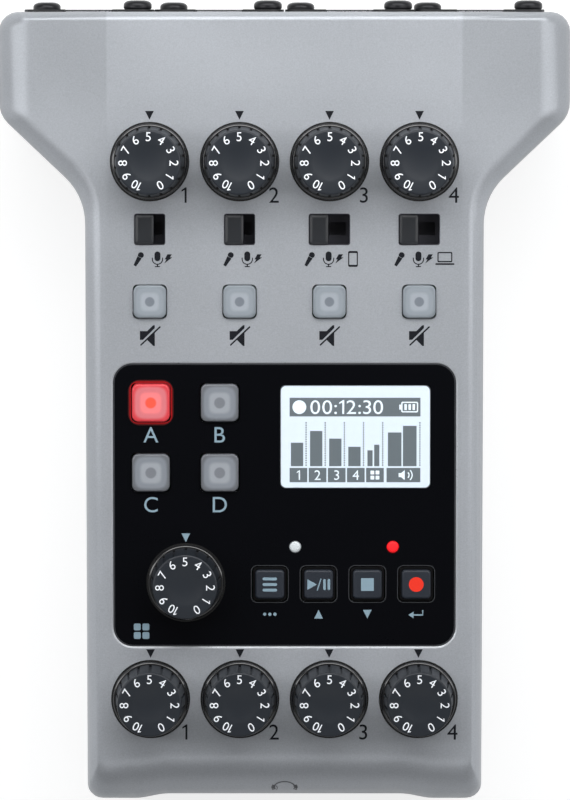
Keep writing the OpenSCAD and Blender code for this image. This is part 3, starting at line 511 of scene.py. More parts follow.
BRASS = Moulded("gilt_contact", "bare_steel", srgb(214, 176, 92), 0.25, metallic=1.0)
BLACK_STEEL = Moulded("black_oxide", "screw_black", srgb(34, 35, 38), 0.35, metallic=0.5)
COVER = Moulded("tinned_cover", "part_grey", srgb(120, 122, 126), 0.4, metallic=0.8)
BOARD = Moulded("solder_mask", "board_green", srgb(34, 92, 58), 0.4, coat=0.3)
CELL = Moulded("cell_sleeve", "cell_wrap", srgb(78, 82, 92), 0.35, metallic=0.3, coat=0.3)
RUBBER = Moulded("foot_rubber", "foot_rubber", srgb(26, 26, 27), 0.8, grain_depth=0.03)

NODE_FINISHES: dict[Finish, list[str]] = {
    BASE: ["battery_door", "card_cover"],
    PANEL: [PANEL_NODE],
    SCREEN: ["display_window"],
    LCD_FRAME: ["lcd_module"],
    WHITE_LENS: ["power_led_lens"],
    RED_LENS: ["record_led_lens"],
    SLOT: ["slide_switches"],
    LEVER: ["power_slider"],
    COVER: ["potentiometers", "tact_switches", "power_switch"],
    BOARD: ["main_board"],
    SOCKET: ["xlr_shells", "xlr_inserts", "phones_jacks", "output_jacks", "smartphone_jack"],
    STEEL: [*numbered("xlr_latch"), "usb_ports", "card_socket", "battery_contacts"],
    CELL: ["battery_cells"],
    RUBBER: ["rubber_feet"],
    BLACK_STEEL: ["case_screws"],
}


class Deck:
    """The sloping deck. Its own frame has x across, y along it and z square to it, in millimetres."""

    def __init__(self, knob_joint: str) -> None:
        """Finds the deck from the joint of a knob, which stands square on it."""
        joint = next(j for j in frame["joints"] if j["name"] == knob_joint)
        slope = math.atan2(-joint["axis"][1], joint["axis"][2])
        _, y, z = joint["pos_m"]
        height = z - y * math.tan(slope)
        self.matrix = Matrix.Translation((0, 0, height)) @ Matrix.Rotation(slope, 4, "X") @ Matrix.Scale(MM, 4)

    def at(self, place: Point, z: float = 0.0) -> Matrix:
        """Gives the matrix that carries a piece's own frame to a place on the deck.

        Args:
            place: Place on the deck.
            z: Height above the deck.

        Returns:
            The matrix, from millimetres to the row's metres.
        """
        return self.matrix @ Matrix.Translation((place[0], place[1], z))

    def box(self, node: str) -> tuple[Vector, Vector]:
        """Gives the lowest and highest corner of a CAD node in the deck's frame."""
        back = self.matrix.inverted()
        points = [back @ v.co for v in frame["nodes"][node].data.vertices]
        return tuple(Vector([pick(p[i] for p in points) for i in range(3)]) for pick in (min, max))

    def middle(self, node: str) -> Point:
        """Gives the place on the deck of a CAD node's middle."""
        low, high = self.box(node)
        return ((low.x + high.x) / 2, (low.y + high.y) / 2)

    def top(self, node: str) -> float:
        """Gives the height of a CAD node above the deck."""
        return self.box(node)[1].z


DECK = Deck("gain_knob_1_turn")


def arc(middle: Point, radius: float, start: float, end: float, steps: int) -> Outline:
    """Gives points along an arc.

    Args:
        middle: Middle of the arc.
        radius: Its radius.
        start: First angle, in degrees.
        end: Last angle, in degrees.
        steps: Number of steps.

    Returns:
        The points, both ends among them.
    """
    angles = (math.radians(start + (end - start) * i / steps) for i in range(steps + 1))
    return [(middle[0] + radius * math.cos(a), middle[1] + radius * math.sin(a)) for a in angles]


def polar(radius: float, angle: float) -> Point:
    """Gives the point at a radius and an angle in degrees."""
    return (radius * math.cos(math.radians(angle)), radius * math.sin(math.radians(angle)))


def disc(middle: Point, radius: float, steps: int = 32) -> Outline:
    """Gives a circle's outline."""
    return arc(middle, radius, 0, 360, steps)[:-1]


def rounded(width: float, length: float, radius: float, middle: Point = (0, 0), steps: int = 6) -> Outline:
    """Gives the outline of a rectangle with round corners, counter-clockwise.

    Args:
        width: Size along x.
        length: Size along y.
        radius: Corner radius.
        middle: Middle of the rectangle.
        steps: Steps along each corner.

    Returns:
        The outline.
    """
    x, y = width / 2 - radius, length / 2 - radius
    corners = [((x, -y), -90), ((x, y), 0), ((-x, y), 90), ((-x, -y), 180)]
    return [
        p for (cx, cy), start in corners
        for p in arc((middle[0] + cx, middle[1] + cy), radius, start, start + 90, steps)
    ]


def bar(start: Point, end: Point, width: float, steps: int = 5) -> Outline:
    """Gives the outline of a straight stroke with round ends."""
    turn = math.degrees(math.atan2(end[1] - start[1], end[0] - start[0]))
    return arc(end, width / 2, turn - 90, turn + 90, steps) + arc(start, width / 2, turn + 90, turn + 270, steps)


def block(left: float, right: float, low: float, high: float) -> Outline:
    """Gives a rectangle's outline from its edges."""
    return [(left, low), (right, low), (right, high), (left, high)]


def moved(outline: Iterable[Point], by: Point, turn: float = 0.0, size: float = 1.0) -> Outline:
    """Turns, sizes and moves an outline.

    Args:
        outline: The outline.
        by: Where its origin goes.
        turn: Turn in degrees, made first.
        size: Factor of its size.

    Returns:
        The moved outline.
    """
    c, s = math.cos(math.radians(turn)) * size, math.sin(math.radians(turn)) * size
    return [(by[0] + x * c - y * s, by[1] + x * s + y * c) for x, y in outline]


def lifted(outline: Iterable[Point], z: float) -> Ring:
    """Gives an outline's points at a height."""
    return [(x, y, z) for x, y in outline]


def lathe(profile: Iterable[Point], segments: int) -> list[Ring]:
    """Gives a ring about z for each radius and height of a profile."""
    return [lifted(disc((0, 0), radius, segments), z) for radius, z in profile]


class Draft:
    """A mesh in the making, in millimetres of its own frame. Each step gives the draft back."""

    def __init__(self) -> None:
        """Starts empty."""
        self.bm = bmesh.new()

    def skin(self, rings: Sequence[Ring], closed: bool = True) -> "Draft":
        """Adds a skin over a stack of rings.

        Args:
            rings: Rings of as many points each, lowest first, counter-clockwise from above.
            closed: Whether both ends get a face.

        Returns:
            The draft.
        """
        made = [[self.bm.verts.new(p) for p in ring] for ring in rings]
        for low, high in zip(made, made[1:]):
            for i in range(len(low)):
                j = (i + 1) % len(low)
                self.bm.faces.new((low[i], low[j], high[j], high[i]))
        if closed:
            self.bm.faces.new(made[0][::-1])
            self.bm.faces.new(made[-1])
        return self

    def plate(self, sizes: Sequence[Point], width: float, length: float, radius: float) -> "Draft":
        """Adds a rounded plate whose outline draws in with height.

        Args:
            sizes: Inset and height of each ring, lowest first.
            width: Width with no inset.
            length: Length with no inset.
            radius: Corner radius with no inset.

        Returns:
            The draft.
        """
        return self.skin([
            lifted(rounded(width - 2 * d, length - 2 * d, max(radius - d, LEAST_CORNER)), z) for d, z in sizes
        ])

    def revolve(self, profile: Sequence[Point], segments: int) -> "Draft":
        """Adds a body of revolution about z.

        Args:
            profile: Radius and height of each point, lowest first, the ends on the axis.
            segments: Segments round the axis.

        Returns:
            The draft.
        """
        rings = lathe(profile[1:-1], segments)
        self.skin(rings, closed=False)
        self.bm.verts.ensure_lookup_table()
        count = len(rings) * segments
        start = len(self.bm.verts) - count
        ends = [(profile[0], start, -1), (profile[-1], start + count - segments, 1)]
        for (_, z), first, way in ends:
            pole = self.bm.verts.new((0, 0, z))
            self.bm.verts.ensure_lookup_table()
            for i in range(segments):
                edge = (self.bm.verts[first + i], self.bm.verts[first + (i + 1) % segments])
                self.bm.faces.new((pole, *edge[::way]))
        return self

    def flat(self, *outlines: Iterable[Point]) -> "Draft":
        """Adds a flat face for each outline."""
        for outline in outlines:
            self.bm.faces.new([self.bm.verts.new(p) for p in lifted(outline, 0)])
        return self

    def band(self, outer: Outline, inner: Outline, outer_z: float = 0.0) -> "Draft":
        """Adds a closed band of faces between two outlines of as many points."""
        return self.skin([lifted(outer, outer_z), lifted(inner, 0)], closed=False)

    def strip(self, path: Outline, width: float) -> "Draft":
        """Adds a flat strip along the middle points of an open path."""
        sides = []
        for i, p in enumerate(path):
            before, after = Vector(path[max(i - 1, 0)]), Vector(path[min(i + 1, len(path) - 1)])
            way = (after - before).normalized()
            off = Vector((-way.y, way.x)) * width / 2
            sides.append((Vector(p) + off, Vector(p) - off))
        left = [self.bm.verts.new((*a, 0)) for a, _ in sides]
        right = [self.bm.verts.new((*b, 0)) for _, b in sides]
        for i in range(len(path) - 1):
            self.bm.faces.new((right[i], right[i + 1], left[i + 1], left[i]))
        return self

    def words(self, text: str, height: float, at: Point, turn: float = 0.0, width: float | None = None) -> "Draft":
        """Adds flat figures or letters.

        Args:
            text: What they say.
            height: Their height.
            at: Their middle.
            turn: Turn in degrees.
            width: Their width, or None for the type's own.

        Returns:
            The draft.
        """
        mesh = type_mesh(text)
        xs, ys = ([v.co[i] for v in mesh.vertices] for i in (0, 1))
        size = height / (max(ys) - min(ys))
        stretch = 1.0 if width is None else width / ((max(xs) - min(xs)) * size)
        middle = ((max(xs) + min(xs)) / 2, (max(ys) + min(ys)) / 2)
        points = moved((((x - middle[0]) * stretch, y - middle[1]) for x, y in zip(xs, ys)), at, turn, size)
        verts = [self.bm.verts.new(p) for p in lifted(points, 0)]
        for polygon in mesh.polygons:
            self.bm.faces.new([verts[i] for i in polygon.vertices])
        return self

    def thicken(self, amount: float) -> "Draft":
        """Turns flat faces into thin solids that stand on their own plane."""
        made = bmesh.ops.extrude_face_region(self.bm, geom=self.bm.faces[:], use_keep_orig=True)
        raised = [e for e in made["geom"] if isinstance(e, bmesh.types.BMVert)]
        bmesh.ops.translate(self.bm, verts=raised, vec=(0, 0, amount))
        return self

    def map_flat(self, size: float) -> "Draft":
        """Gives every face a flat square map from above, so that the middle is at one half of each way."""
        layer = self.bm.loops.layers.uv.new("UVMap")
        for face in self.bm.faces:
            for loop in face.loops:
                loop[layer].uv = (loop.vert.co.x / size + 0.5, loop.vert.co.y / size + 0.5)
        return self

    def mesh(self, name: str) -> Mesh:
        """Gives the finished mesh, in millimetres, with its normals outwards and soft shading."""
        bmesh.ops.remove_doubles(self.bm, verts=self.bm.verts, dist=WELD)
        bmesh.ops.recalc_face_normals(self.bm, faces=self.bm.faces)
        mesh = bpy.data.meshes.new(name)
        self.bm.to_mesh(mesh)
        self.bm.free()
        soften(mesh)
        return mesh

    def printed(self, name: str) -> Mesh:
        """Gives the finished mesh of flat faces as a thin print."""
        return self.thicken(PRINT_THICKNESS).mesh(name)


def soften(mesh: Mesh, angle: float = 32.0) -> None:
    """Shades a mesh softly except across edges sharper than an angle in degrees."""
    mesh.polygons.foreach_set("use_smooth", [True] * len(mesh.polygons))
    mesh.set_sharp_from_angle(angle=math.radians(angle))


def settle_normals(mesh: Mesh, limit: float, wide: float) -> None:
    """Shades a welded mesh softly, with every wide flat face left flat.

    Args:
        mesh: The mesh.
        limit: Largest angle between faces, in degrees, across which the shading is soft.
        wide: Area from which a flat face counts as wide, in square metres.
    """
    plane_step, normal_steps = 2e-5, 200
    planes: dict[tuple[int, ...], float] = defaultdict(float)
    keys = []
    for face in mesh.polygons:
        plane = round(face.normal.dot(face.center) / plane_step)
        keys.append((*(round(c * normal_steps) for c in face.normal), plane))
        planes[keys[-1]] += face.area
    near = defaultdict(list)
    for face in mesh.polygons:
        for corner in face.vertices:
            near[corner].append((face.normal.copy(), planes[keys[face.index]]))
    least = math.cos(math.radians(limit))
    normals = []
    for face in mesh.polygons:
        own = face.normal.copy()
        flat = planes[keys[face.index]] > wide
        for corner in face.vertices:
            soft = sum((n * area for n, area in near[corner] if n.dot(own) > least), Vector())
            normals.append(own if flat else soft.normalized())
    mesh.normals_split_custom_set(normals)


def type_mesh(text: str) -> Mesh:
    """Gives flat type in the built-in font, with a plain figure one, made when it is first asked for.

    Args:
        text: What it says.

    Returns:
        The mesh, in the font's own units.
    """
    name = "type_" + text
    made = bpy.data.meshes.get(name)
    if made is not None:
        return made
    if "1" not in text:
        curve = bpy.data.curves.new(name, "FONT")
        curve.body = text
        holder = show(bpy.data.objects.new(name, curve))
        made = plain_mesh(holder)
        made.name = name
        bpy.data.objects.remove(holder)
        return made
    made = bpy.data.meshes.new(name)
    if text == "1":
        made.from_pydata(lifted(FIGURE_ONE, 0), [], [range(len(FIGURE_ONE))])
        return made
    draft = bmesh.new()
    left = 0.0
    for mark in text:
        sample = type_mesh(mark).copy()
        xs = [v.co.x for v in sample.vertices]
        sample.transform(Matrix.Translation((left - min(xs), 0, 0)))
        left += max(xs) - min(xs) + TYPE_SPACE
        draft.from_mesh(sample)
    draft.to_mesh(made)
    draft.free()
    return made


def show(thing: Object) -> Object:
    """Puts an object into the scene."""
    bpy.context.scene.collection.objects.link(thing)
    return thing


def plain_mesh(thing: Object) -> Mesh:
    """Gives an object's evaluated shape as a plain mesh."""
    graph = bpy.context.evaluated_depsgraph_get()
    return bpy.data.meshes.new_from_object(thing.evaluated_get(graph), depsgraph=graph)


def wear(mesh: Mesh, finish: Finish) -> None:
    """Gives a mesh one finish."""
    mesh.materials.clear()
    mesh.materials.append(finish.material())


def piece(name: str, mesh: Mesh, place: Matrix, finish: Finish, body: str = BODY,
          replaces: Sequence[str] = ()) -> Object:
    """Makes a piece of the recorder and parents it to its body's empty.

    Args:
        name: The piece's name.
        mesh: Its mesh, in its own frame; it is copied.
        place: Matrix from that frame to the row.
        finish: Its finish.
        body: The CAD body it moves with.
        replaces: The CAD nodes it stands for.

    Returns:
        The piece.
    """
    own = mesh.copy()
    own.name = name
    own.transform(place)
    wear(own, finish)
    made = show(bpy.data.objects.new(name, own))
    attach(made, body)
    if replaces:
        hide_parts(*replaces)
    LOG.info("%s: %d faces on %s", name, len(own.polygons), body)
    return made


class CopyTree:
    """Geometry Nodes that repeat a small shape on the points of a mesh, or in turns about z."""

    SEED: int = 4
    INPUTS: dict[str, str] = {
        "Shape": "Object", "Count": "Int", "Turn Spread": "Float", "Seed": "Int", "Finish": "Material",
    }

    def __init__(self, name: str, in_turns: bool) -> None:
        """Builds the tree.

        Args:
            name: Its name.
            in_turns: True for copies in turns about z, joined to the host mesh; False for copies on its points.
        """
        self.tree = bpy.data.node_groups.new(name, "GeometryNodeTree")
        wiring, given, result = start_group(
            self.tree, {"Geometry": "Geometry", **self.INPUTS}, {"Geometry": "Geometry"})
        shape = wiring.add("GeometryNodeObjectInfo")
        wiring.link(given.outputs["Shape"], shape.inputs["Object"])
        copies = wiring.add("GeometryNodeInstanceOnPoints")
        wiring.link(shape.outputs["Geometry"], copies.inputs["Instance"])
        turn = wiring.add("ShaderNodeCombineXYZ")
        wiring.link(turn.outputs[0], copies.inputs["Rotation"])
        realized = wiring.add("GeometryNodeRealizeInstances")
        wiring.link(copies.outputs[0], realized.inputs[0])
        last = realized.outputs[0]
        if in_turns:
            points = wiring.add("GeometryNodePoints")
            wiring.link(given.outputs["Count"], points.inputs["Count"])
            wiring.link(points.outputs[0], copies.inputs["Points"])
            step = wiring.math("DIVIDE", 2 * math.pi, given.outputs["Count"])
            index = wiring.add("GeometryNodeInputIndex").outputs[0]
            wiring.link(wiring.math("MULTIPLY", index, step), turn.inputs["Z"])
            joined = wiring.add("GeometryNodeJoinGeometry")
            wiring.link(last, joined.inputs[0])
            wiring.link(given.outputs["Geometry"], joined.inputs[0])
            last = joined.outputs[0]
        else:
            wiring.link(given.outputs["Geometry"], copies.inputs["Points"])
            chance = wiring.add("FunctionNodeRandomValue", data_type="FLOAT")
            wiring.link(given.outputs["Seed"], chance.inputs["Seed"])
            value = wiring.math("MULTIPLY", chance.outputs[1], given.outputs["Turn Spread"])
            wiring.link(value, turn.inputs["Z"])
        finish = wiring.add("GeometryNodeSetMaterial")
        wiring.link(last, finish.inputs["Geometry"])
        wiring.link(given.outputs["Finish"], finish.inputs["Material"])
        wiring.link(finish.outputs[0], result.inputs[0])

    def grow(self, host: Mesh, shape: Mesh, finish: Finish, count: int = 0, spread: float = 0.0) -> Mesh:
        """Runs the tree and gives its result as a plain mesh.

        Args:
            host: The mesh that carries the copies.
            shape: The shape that is repeated.
            finish: Finish of the result.
            count: Number of turns.
            spread: Largest chance turn of a copy, in radians.

        Returns:
            The new mesh.
        """
        carrier = show(bpy.data.objects.new("carrier", host))
        sample = show(bpy.data.objects.new("sample", shape))
        modifier = carrier.modifiers.new("copies", "NODES")
        modifier.node_group = self.tree
        values = {"Shape": sample, "Count": count, "Turn Spread": spread, "Seed": self.SEED,
                  "Finish": finish.material()}
        for name, value in values.items():
            modifier[self.tree.interface.items_tree[name].identifier] = value
        made = plain_mesh(carrier)
        for spare in (carrier, sample):
            bpy.data.objects.remove(spare)
        soften(made)
        return made


TURNS = CopyTree("copies_in_turns", in_turns=True)
PLACES = CopyTree("copies_on_places", in_turns=False)


def places_mesh(places: Iterable[Sequence[float]]) -> Mesh:
    """Gives a mesh of loose points."""
    mesh = bpy.data.meshes.new("places")
    mesh.from_pydata([tuple(p) for p in places], [], [])
    return mesh


@dataclass
class Case:
    """The two halves of the case, taken from the frame and shaded softly, with the panel's rim and the pocket's
    chamfer, both painted lighter as highlights.
    """

    shells: dict[str, Finish] = field(default_factory=lambda: {"top_case": SILVER, "bottom_case": BASE})
    weld: float = 1e-6
    soft_angle: float = 28.0
    wide_face: float = 3.4e-4
    panel_radius: float = 3.8
    rim_width: float = 0.3
    edge_width: float = 0.32
    edge_drop: float = 0.14

    def build(self) -> None:
        """Makes both halves and the edges round the panel."""
        for node, finish in self.shells.items():
            self.shell(node, finish)
        self.panel_edges()

    def shell(self, node: str, finish: Finish) -> None:
        """Makes a softly shaded copy of the CAD node of one half."""
        draft = bmesh.new()
        draft.from_mesh(frame["nodes"][node].data)
        bmesh.ops.remove_doubles(draft, verts=draft.verts, dist=self.weld)
        mesh = bpy.data.meshes.new(node)
        draft.to_mesh(mesh)
        draft.free()
        settle_normals(mesh, self.soft_angle, self.wide_face)
        piece(node + "_shell", mesh, Matrix.Identity(4), finish, replaces=[node])

    def panel_edges(self) -> None:
        """Makes the fine rim on the panel and the chamfer of its pocket, both lighter than their surfaces as
        painted highlights: the flat rim stands in for the light on the panel's bevel.
        """
        low, high = DECK.box(PANEL_NODE)
        middle = DECK.middle(PANEL_NODE)
        inside, edge, outside = (
            rounded(high.x - low.x + 2 * grow, high.y - low.y + 2 * grow, self.panel_radius + grow)
            for grow in (-self.rim_width, 0.0, self.edge_width)
        )
        # The rim is a flat lighter ring: painted highlight standing in for the panel's bevel.
        rim = Draft().band(edge, inside).printed("rim")
        piece("panel_rim", rim, DECK.at(middle, high.z + PRINT_LIFT), RIM_HIGHLIGHT_AND_FRAME_LINE)
        # The chamfer is a brighter copy of the silver paint: painted highlight.
        chamfer = Draft().band(outside, edge, self.edge_drop).printed("chamfer")
        piece("pocket_edge", chamfer, DECK.at(middle, PRINT_LIFT - self.edge_drop), POCKET_EDGE_HIGHLIGHT)


@dataclass
class Knobs:
    """The nine numbered knobs with their skirts, grip panels and dished tops."""

    nodes: Sequence[str] = (*numbered("gain_knob"), "pad_level_knob", *numbered("phones_knob"))
    segments: int = 108
    ring_segments: int = 72
    bottom: float = -0.7
    skirt_radius: float = 7.4
    skirt_edge: float = 0.45
    skirt_drop: float = 0.08
    foot_radius: float = 6.85
    top_radius: float = 6.3
    foot: float = 0.9
    lip: float = 0.75
    notch_depth: float = 0.35
    panel_count: int = 18
    panel_share: float = 0.8
    panel_bevel: float = 0.09
    panel_face: float = 0.86
    dish_radius: float = 3.8
    dish_depth: float = 0.4
    dish_steps: int = 7
    sink: float = 0.06
    number_radius: float = 4.95
    number_height: float = 1.72
    number_step: float = 30.5
    well_radius: float = 7.74
    well_gap: float = 0.03
    well_depth: float = 0.3
    well_level: float = -0.42

    def build(self) -> None:
        """Makes every knob, its numbers and the black ring round it, a dark sheet in the gap that paints the shade
        there.
        """
        top = DECK.top(self.nodes[0]) - self.sink
        knob = TURNS.grow(self.core(top), self.panel(top), KNOB, self.panel_count)
        skirt = self.skirt()
        numbers = self.numbers()
        # Black ring laid in the gap round each knob: painted shade, not a part of the recorder.
        radii = (self.well_radius, self.skirt_radius + self.well_gap)
        ring = Draft().band(*(disc((0, 0), radius, self.ring_segments) for radius in radii))
        shade_ring = ring.thicken(self.well_depth).mesh("ring")
        for node in self.nodes:
            place = DECK.middle(node)
            piece(node + "_cap", knob, DECK.at(place), KNOB, node, [node])
            piece(node + "_skirt", skirt, DECK.at(place), SKIRT, node)
            piece(node + "_numbers", numbers, DECK.at(place, top), NUMBER, node)
            piece(node + "_well", shade_ring, DECK.at(place, self.well_level), GAP_SHADE)

    def core(self, top: float) -> Mesh:
        """Makes the barrel between the notches and the dished top, up to the knob's height."""
        rim, waist, steps = self.top_radius, self.foot_radius - self.notch_depth, self.dish_steps
        shares = [1 - k / steps for k in range(steps)]
        profile = [
            (0, self.bottom), (waist, self.bottom), (waist, self.foot), (rim - self.notch_depth, top - self.lip),
            (rim - 0.02, top - self.lip + 0.06), (rim, top - 0.35), (rim - 0.07, top - 0.14),
            (rim - 0.2, top - 0.04), (rim - 0.38, top), (rim - 0.46, top),
            *((self.dish_radius * share, top - self.dish_depth * (1 - share**2)) for share in shares),
            (0, top - self.dish_depth),
        ]
        return Draft().revolve(profile, self.segments).mesh("knob_core")

    def skirt(self) -> Mesh:
        """Makes the glossy skirt, a ring with a round outer edge."""
        outer, inner, edge = self.skirt_radius, self.foot_radius - self.notch_depth, self.skirt_edge
        high = self.foot - self.skirt_drop
        profile = [
            (outer, self.bottom), *arc((outer - edge, high - edge), edge, 0, 90, 6), (inner, high),
            (inner, self.bottom), (outer, self.bottom),
        ]
        return Draft().skin(lathe(profile, self.segments), closed=False).mesh("knob_skirt")

    def panel(self, top: float) -> Mesh:
        """Makes one grip panel of the barrel, for a knob of a height."""
        half = 180 / self.panel_count * self.panel_share
        face = half * self.panel_face
        rings = []
        for share in (0.0, 1.0):
            outer = self.foot_radius + (self.top_radius - 0.04 - self.foot_radius) * share
            z = self.foot - 0.05 + (top - self.lip - self.foot + 0.1) * share
            ring = [
                polar(outer - self.panel_bevel, -half), *arc((0, 0), outer, -face, face, 5),
                polar(outer - self.panel_bevel, half),
                *arc((0, 0), outer - self.notch_depth - 0.1, half, -half, 3),
            ]
            rings.append(lifted(ring, z))
        return Draft().skin(rings).mesh("grip_panel")

    def numbers(self) -> Mesh:
        """Makes the numbers round the top, with 5 at the rear."""
        draft = Draft()
        for number in range(11):
            turn = (number - 5) * self.number_step
            draft.words(str(number), self.number_height, polar(self.number_radius, 90 + turn), turn)
        return draft.printed("knob_numbers")


@dataclass
class Levers:
    """The input switch levers and the black linings of their slots."""

    clearance: float = 0.25
    lining: float = 0.12
    depth: float = 2.3
    sink: float = 0.01
    corner: float = 0.4
    chamfer: float = 0.55

    def build(self) -> None:
        """Makes each lever and the lining of its slot."""
        joints = {j["child"]: j for j in frame["joints"]}
        for channel, node in zip(CHANNELS, numbered("input_switch")):
            low, high = DECK.box(node)
            width, length, top = high.x - low.x, high.y - low.y, high.z
            x, y = DECK.middle(node)
            rings = [(0, low.z), (0, top - 0.3), (self.chamfer * 0.15, top - 0.16), (self.chamfer, top),
                     (self.chamfer + 0.05, top)]
            cap = Draft().plate(rings, width, length, self.corner).mesh("lever")
            piece(node + "_lever", cap, DECK.at((x, y)), LEVER, node, [node])
            travel = joints[node]["range_m"][1] / MM
            wide, long = width + travel + 2 * self.clearance, length + 2 * self.clearance
            lining = Draft().band(
                rounded(wide, long, self.corner + 0.1),
                rounded(wide - 2 * self.lining, long - 2 * self.lining, self.corner),
            ).thicken(self.depth).mesh("lining")
            place = DECK.at((x + travel / 2, y), -self.depth - self.sink)
            piece(f"input_slot_{channel}", lining, place, SLOT)


class KeySign(Enum):
    """What is printed on a key. The value is the key's CAD node."""

    LINES = "menu_key"
    PLAY_PAUSE = "play_key"
    STOP = "stop_key"
    RECORD = "record_key"

    def outlines(self) -> list[Outline]:
        """Gives the sign's outlines, in millimetres from the key's middle."""
        if self is KeySign.LINES:
            return [bar((-1.15, y), (1.15, y), 0.56) for y in (-1.1, 0.0, 1.1)]
        if self is KeySign.PLAY_PAUSE:
            pauses = [bar((x, -0.85), (x, 0.85), 0.5) for x in (1.15, 2.0)]
            return [[(-2.2, -1.05), (-0.35, 0.0), (-2.2, 1.05)], bar((-0.25, -1.1), (0.45, 1.1), 0.22), *pauses]
        if self is KeySign.STOP:
            return [rounded(2.5, 2.5, 0.12)]
        return [disc((0, 0), 1.45)]


@dataclass
class Buttons:
    """The mute buttons, sound pads and keys."""

    lit_node: str = "sound_pad_a"
    dark_nodes: Sequence[str] = ("sound_pad_b", "sound_pad_c", "sound_pad_d")
    mute_size: float = 6.4
    pad_size: float = 7.35
    key_size: float = 5.7
    key_corner: float = 0.75
    key_edge: float = 0.45
    skirt_size: float = 6.6
    skirt_corner: float = 0.8
    cap_edge: float = 0.38
    cap_shoulder: float = 0.05
    cap_dish: Sequence[Point] = ((0.9, 0.0), (1.0, 0.0), (1.9, 0.05), (2.0, 0.05))
    corner: float = 1.25
    frame_size: float = 7.1
    frame_width: float = 0.16
    frame_corners: Point = (1.25, 1.1)
    halo: float = 1.1
    halo_gap: float = 0.5
    halo_corner: float = 1.2
    halo_steps: int = 4
    halo_colour: Colour = srgb(150, 8, 14)

    def build(self) -> None:
        """Makes every button with its finish, and the glow round the lit pad."""
        for node in numbered("mute_button"):
            self.cap(node, self.mute_size, MUTE_CAP)
        for node in self.dark_nodes:
            self.cap(node, self.pad_size, PAD_CAP)
        self.cap(self.lit_node, self.pad_size, LIT_CAP)
        self.lit_edge()
        for sign in KeySign:
            self.key(sign)

    def cap(self, node: str, size: float, finish: LitCap) -> None:
        """Makes a see-through cap.

        Args:
            node: The CAD node it stands for.
            size: Its side.
            finish: Its finish.
        """
        low, high = DECK.box(node)
        edge, top = self.cap_edge, high.z
        shoulder = top - edge - self.cap_shoulder
        rings = [(0, low.z), (0, shoulder)]
        rings += [(edge * (1 - math.cos(a)), shoulder + edge * math.sin(a)) for a in (0.3, 0.6, 0.9, 1.2, 1.5)]
        rings += [(edge + 0.12, top - 0.04), *((inset, top - drop) for inset, drop in self.cap_dish)]
        mesh = Draft().plate(rings, size, size, self.corner).map_flat(size).mesh("cap")
        piece(node + "_cap", mesh, DECK.at(DECK.middle(node)), finish, node, [node])

    def lit_edge(self) -> None:
        """Makes the thin red glow that the lit pad throws on the panel."""
        inner, steps = self.pad_size + self.halo_gap, self.halo_steps
        place = DECK.at(DECK.middle(self.lit_node), DECK.top(PANEL_NODE) + PRINT_LIFT)
        for k in range(steps):
            name = f"pad_glow_{k + 1}"
            near, far = (inner + self.halo * s / steps for s in (k, k + 1))
            fade = (1 - k / steps) ** 2
            glow = Moulded(name, "pad_red", tuple(c * fade for c in self.halo_colour), 0.3, glow=0.5)
            ring = Draft().band(*(rounded(side, side, self.halo_corner + side - inner) for side in (far, near)))
            piece(name, ring.printed("glow"), place, glow)

    def key(self, sign: KeySign) -> None:
        """Makes a key with its skirt, its sign and the fine frame round it."""
        node = sign.value
        low, high = DECK.box(node)
        top, shoulder = high.z, high.z - self.key_edge
        place = DECK.at(DECK.middle(node))
        rings = [(0, 0.0), (0, shoulder)]
        rings += [(0.4 * (1 - math.cos(a)), shoulder + 0.42 * math.sin(a)) for a in (0.4, 0.8, 1.2)]
        rings += [(0.42, top), (0.5, top)]
        cap = Draft().plate(rings, self.key_size, self.key_size, self.key_corner)
        piece(node + "_top", cap.mesh("key"), place, KEY, node)
        rings = [(0, low.z), (0, -0.05), (0.08, 0.03), (0.15, 0.03)]
        skirt = Draft().plate(rings, self.skirt_size, self.skirt_size, self.skirt_corner)
        piece(node + "_skirt", skirt.mesh("skirt"), place, KEY_SKIRT, node, [node])
        mark = Draft().flat(*sign.outlines()).printed("sign")
        ink = RED_INK if sign is KeySign.RECORD else PANEL_INK
        piece(node + "_sign", mark, place @ Matrix.Translation((0, 0, top)), ink, node)
        sides = (self.frame_size + 2 * self.frame_width, self.frame_size)
        line = Draft().band(*(rounded(side, side, r) for side, r in zip(sides, self.frame_corners)))
        place = DECK.at(DECK.middle(node), DECK.top(PANEL_NODE) + PRINT_LIFT)
        piece(node + "_frame", line.printed("frame"), place, RIM_HIGHLIGHT_AND_FRAME_LINE)


